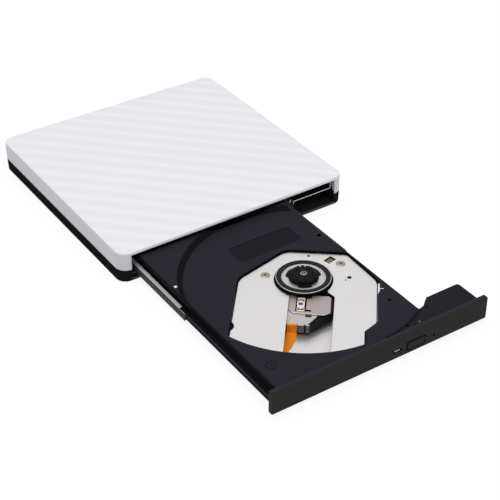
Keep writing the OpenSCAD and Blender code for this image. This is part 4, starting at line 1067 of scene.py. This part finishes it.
def addFoam(look):
    (width, length), y = look["size"], look["middle"]
    for node, x in look["places"].items():
        outline = turnedBox((x, y), (width / 2, length / 2), 0)
        piece = raisePlate(pieceName(node), outline, *look["heights"])
        openMesh(piece)
        bpy.ops.mesh.subdivide(number_cuts=look["cuts"])
        leaveMesh()
        for vertex in piece.data.vertices:
            across = (vertex.co.x * 1000 - x) / width * 2
            along = (vertex.co.y * 1000 - y) / length * 2
            vertex.co.x -= mm(look["pull"]) * across * (1 - along ** 2)
            vertex.co.y -= mm(look["pull"]) * along * (1 - across ** 2)
        smoothEdges(piece, *look["edge"])
        fit(piece, "case", "foam", "foam", node)


addFoam(foamLook)


# feet: moulded rubber discs with a dished underside

footLook = {"profile": [(0, 0.3), (2.4, 0.3), (2.7, 0.02), (3.9, 0.02), (4.3, 0.15), (4.48, 0.5),
                        (4.5, 1.58), (0, 1.58)], "steps": 48,
            "places": {"foot_front_left": (-56, 7.05), "foot_front_right": (56, 7.05),
                       "foot_back_left": (-56, 119.45), "foot_back_right": (56, 119.45)}}


def addFeet(look):
    for node, piece in spinCopies(look["profile"], look["places"], look["steps"]).items():
        fit(piece, "case", "rubber", "rubber", node)


addFeet(footLook)
print("foam and feet set")


# small fittings: cover screws, contact board, post, side pin, earthing leaf, tongues of the socket

screwLook = {"profile": [(0, 10.7), (0.72, 10.7), (0.86, 10.98), (1.7, 11.0), (2.05, 10.94),
                         (2.45, 10.72), (2.5, 10.6), (0.84, 10.6), (0.84, 6.7), (0, 6.7)],
             "steps": 40, "recess": {"z": (-far, 10.72), "out": (-far, 0.75)},
             "places": {"cover_screw_left": (-1.8, -19.5), "cover_screw_right": (-15, 18.2)}}


def addCoverScrews(look):
    places = {node: slotSpot(*place) for node, place in look["places"].items()}
    for node, piece in spinCopies(look["profile"], places, look["steps"]).items():
        fit(piece, "tray", "bronze_screw", "bronze_screw", node)
        # painted shade in the screw's recess
        paint(piece, "pad_board", places[node], **look["recess"])


padLook = {"middle": (22.35, -60.82), "half": (2.72, 1.97), "turn": 12.5, "heights": (9.5, 9.6),
           "pad": (0.34, 0.34), "pitch": 1.25, "rows": 3, "columns": 4, "rise": 0.06,
           "edge": 0.02}


def addContactBoard(look):
    (x, y), turn, (low, high) = look["middle"], look["turn"], look["heights"]
    board = raisePlate("contactBoard", turnedBox((x, y), look["half"], turn), low, high)
    dress(board, look["edge"], "tray", "board_laminate", "pad_board")
    pitch, width = look["pitch"], look["pitch"] * (look["columns"] - 1)
    dx, dy = turnStep(-width / 2, -pitch * (look["rows"] - 1) / 2, turn)
    pads = raisePlate("contactPads", turnedBox((x + dx, y + dy), look["pad"], turn), high,
                      high + look["rise"])
    row = [(*turnStep(pitch, 0, turn), 0)] * (look["columns"] - 1)
    back = (*turnStep(-width, pitch, turn), 0)
    repeatInside(pads, (row + [back]) * (look["rows"] - 1) + row)
    dress(pads, look["edge"], "tray", "bronze_screw", "gold_pads")


fittings = {
    "postSteps": 24, "skirtSteps": 48, "pinEdge": 0.08, "leafEdge": 0.04,
    "post": ((25.2, -129.4), [(0, 14.12), (0.2, 14.12), (0.28, 14.06), (0.3, 13.98), (0, 13.98)]),
    "sidePin": ((-58.4, -56.9, -40.95, -39.45, 0.15), (13.3, 13.97)),
    "skirt": ((41.1, -35.94), [(0, 9.3), (5.6, 9.3), (5.6, 9.05), (0, 9.05)]),
    "leaves": {"earthLeaf": ((0.7, 9.0, 37.5, 38.45), (10.55, 10.8)),
               "leafTab": ((5.6, 6.2, 38.4, 40.2), (10.6, 11.7))},  # stands up in the tray's slit
}


def addFittings(look):
    spot, profile = look["post"]
    post = spinRound("trayPost", profile, spot, look["postSteps"])
    dress(post, 0, "tray", "bright_steel", "pale_plate")
    outline, heights = look["sidePin"]
    pin = raisePlate("sidePin", roundBox(*outline), *heights)
    dress(pin, look["pinEdge"], "tray", "bright_steel", "white_resin")
    spot, profile = look["skirt"]
    skirt = spinRound("damperSkirt", profile, slotSpot(*spot), look["skirtSteps"])
    dress(skirt, 0, "tray", "rubber", "hub_resin")
    for name, (outline, heights) in look["leaves"].items():
        leaf = raisePlate(name, slotBox(*outline), *heights)
        # painted highlight: the leaves near-white
        dress(leaf, look["leafEdge"], "tray", "bright_sheet", "edge_highlight")


socketLook = {"tongues": ((24.7, 31.2, 1.2), (32.0, 35.4, 0.62)),  # sides, pitch of the contacts
              "depth": (129.0, 133.4), "heights": (5.1, 5.6), "corners": (0.2, 0.1),
              "count": 5, "contact": (0.34, 0.05), "reach": (129.6, 133.1),
              "tongueEdge": 0.06, "contactEdge": 0.015}


def addSocketTongues(look):
    low, high = look["heights"]
    (width, rise), (round0, round1), more = look["contact"], look["corners"], look["count"] - 1
    for i, (x0, x1, pitch) in enumerate(look["tongues"]):
        outline = roundBox(x0, x1, *look["depth"], round0)
        tongue = raisePlate(f"socketTongue{i}", outline, low, high)
        dress(tongue, look["tongueEdge"], "case", "chip_epoxy", "chip_epoxy")
        first = (x0 + x1) / 2 - pitch * more / 2
        outline = roundBox(first - width / 2, first + width / 2, *look["reach"], round1)
        strips = raisePlate(f"socketContacts{i}", outline, low - rise, low)
        repeatInside(strips, [(pitch, 0, 0)] * more)
        dress(strips, look["contactEdge"], "case", "bronze_screw", "gold_pads")


addCoverScrews(screwLook)
addContactBoard(padLook)
addFittings(fittings)
addSocketTongues(socketLook)
print("small fittings set")
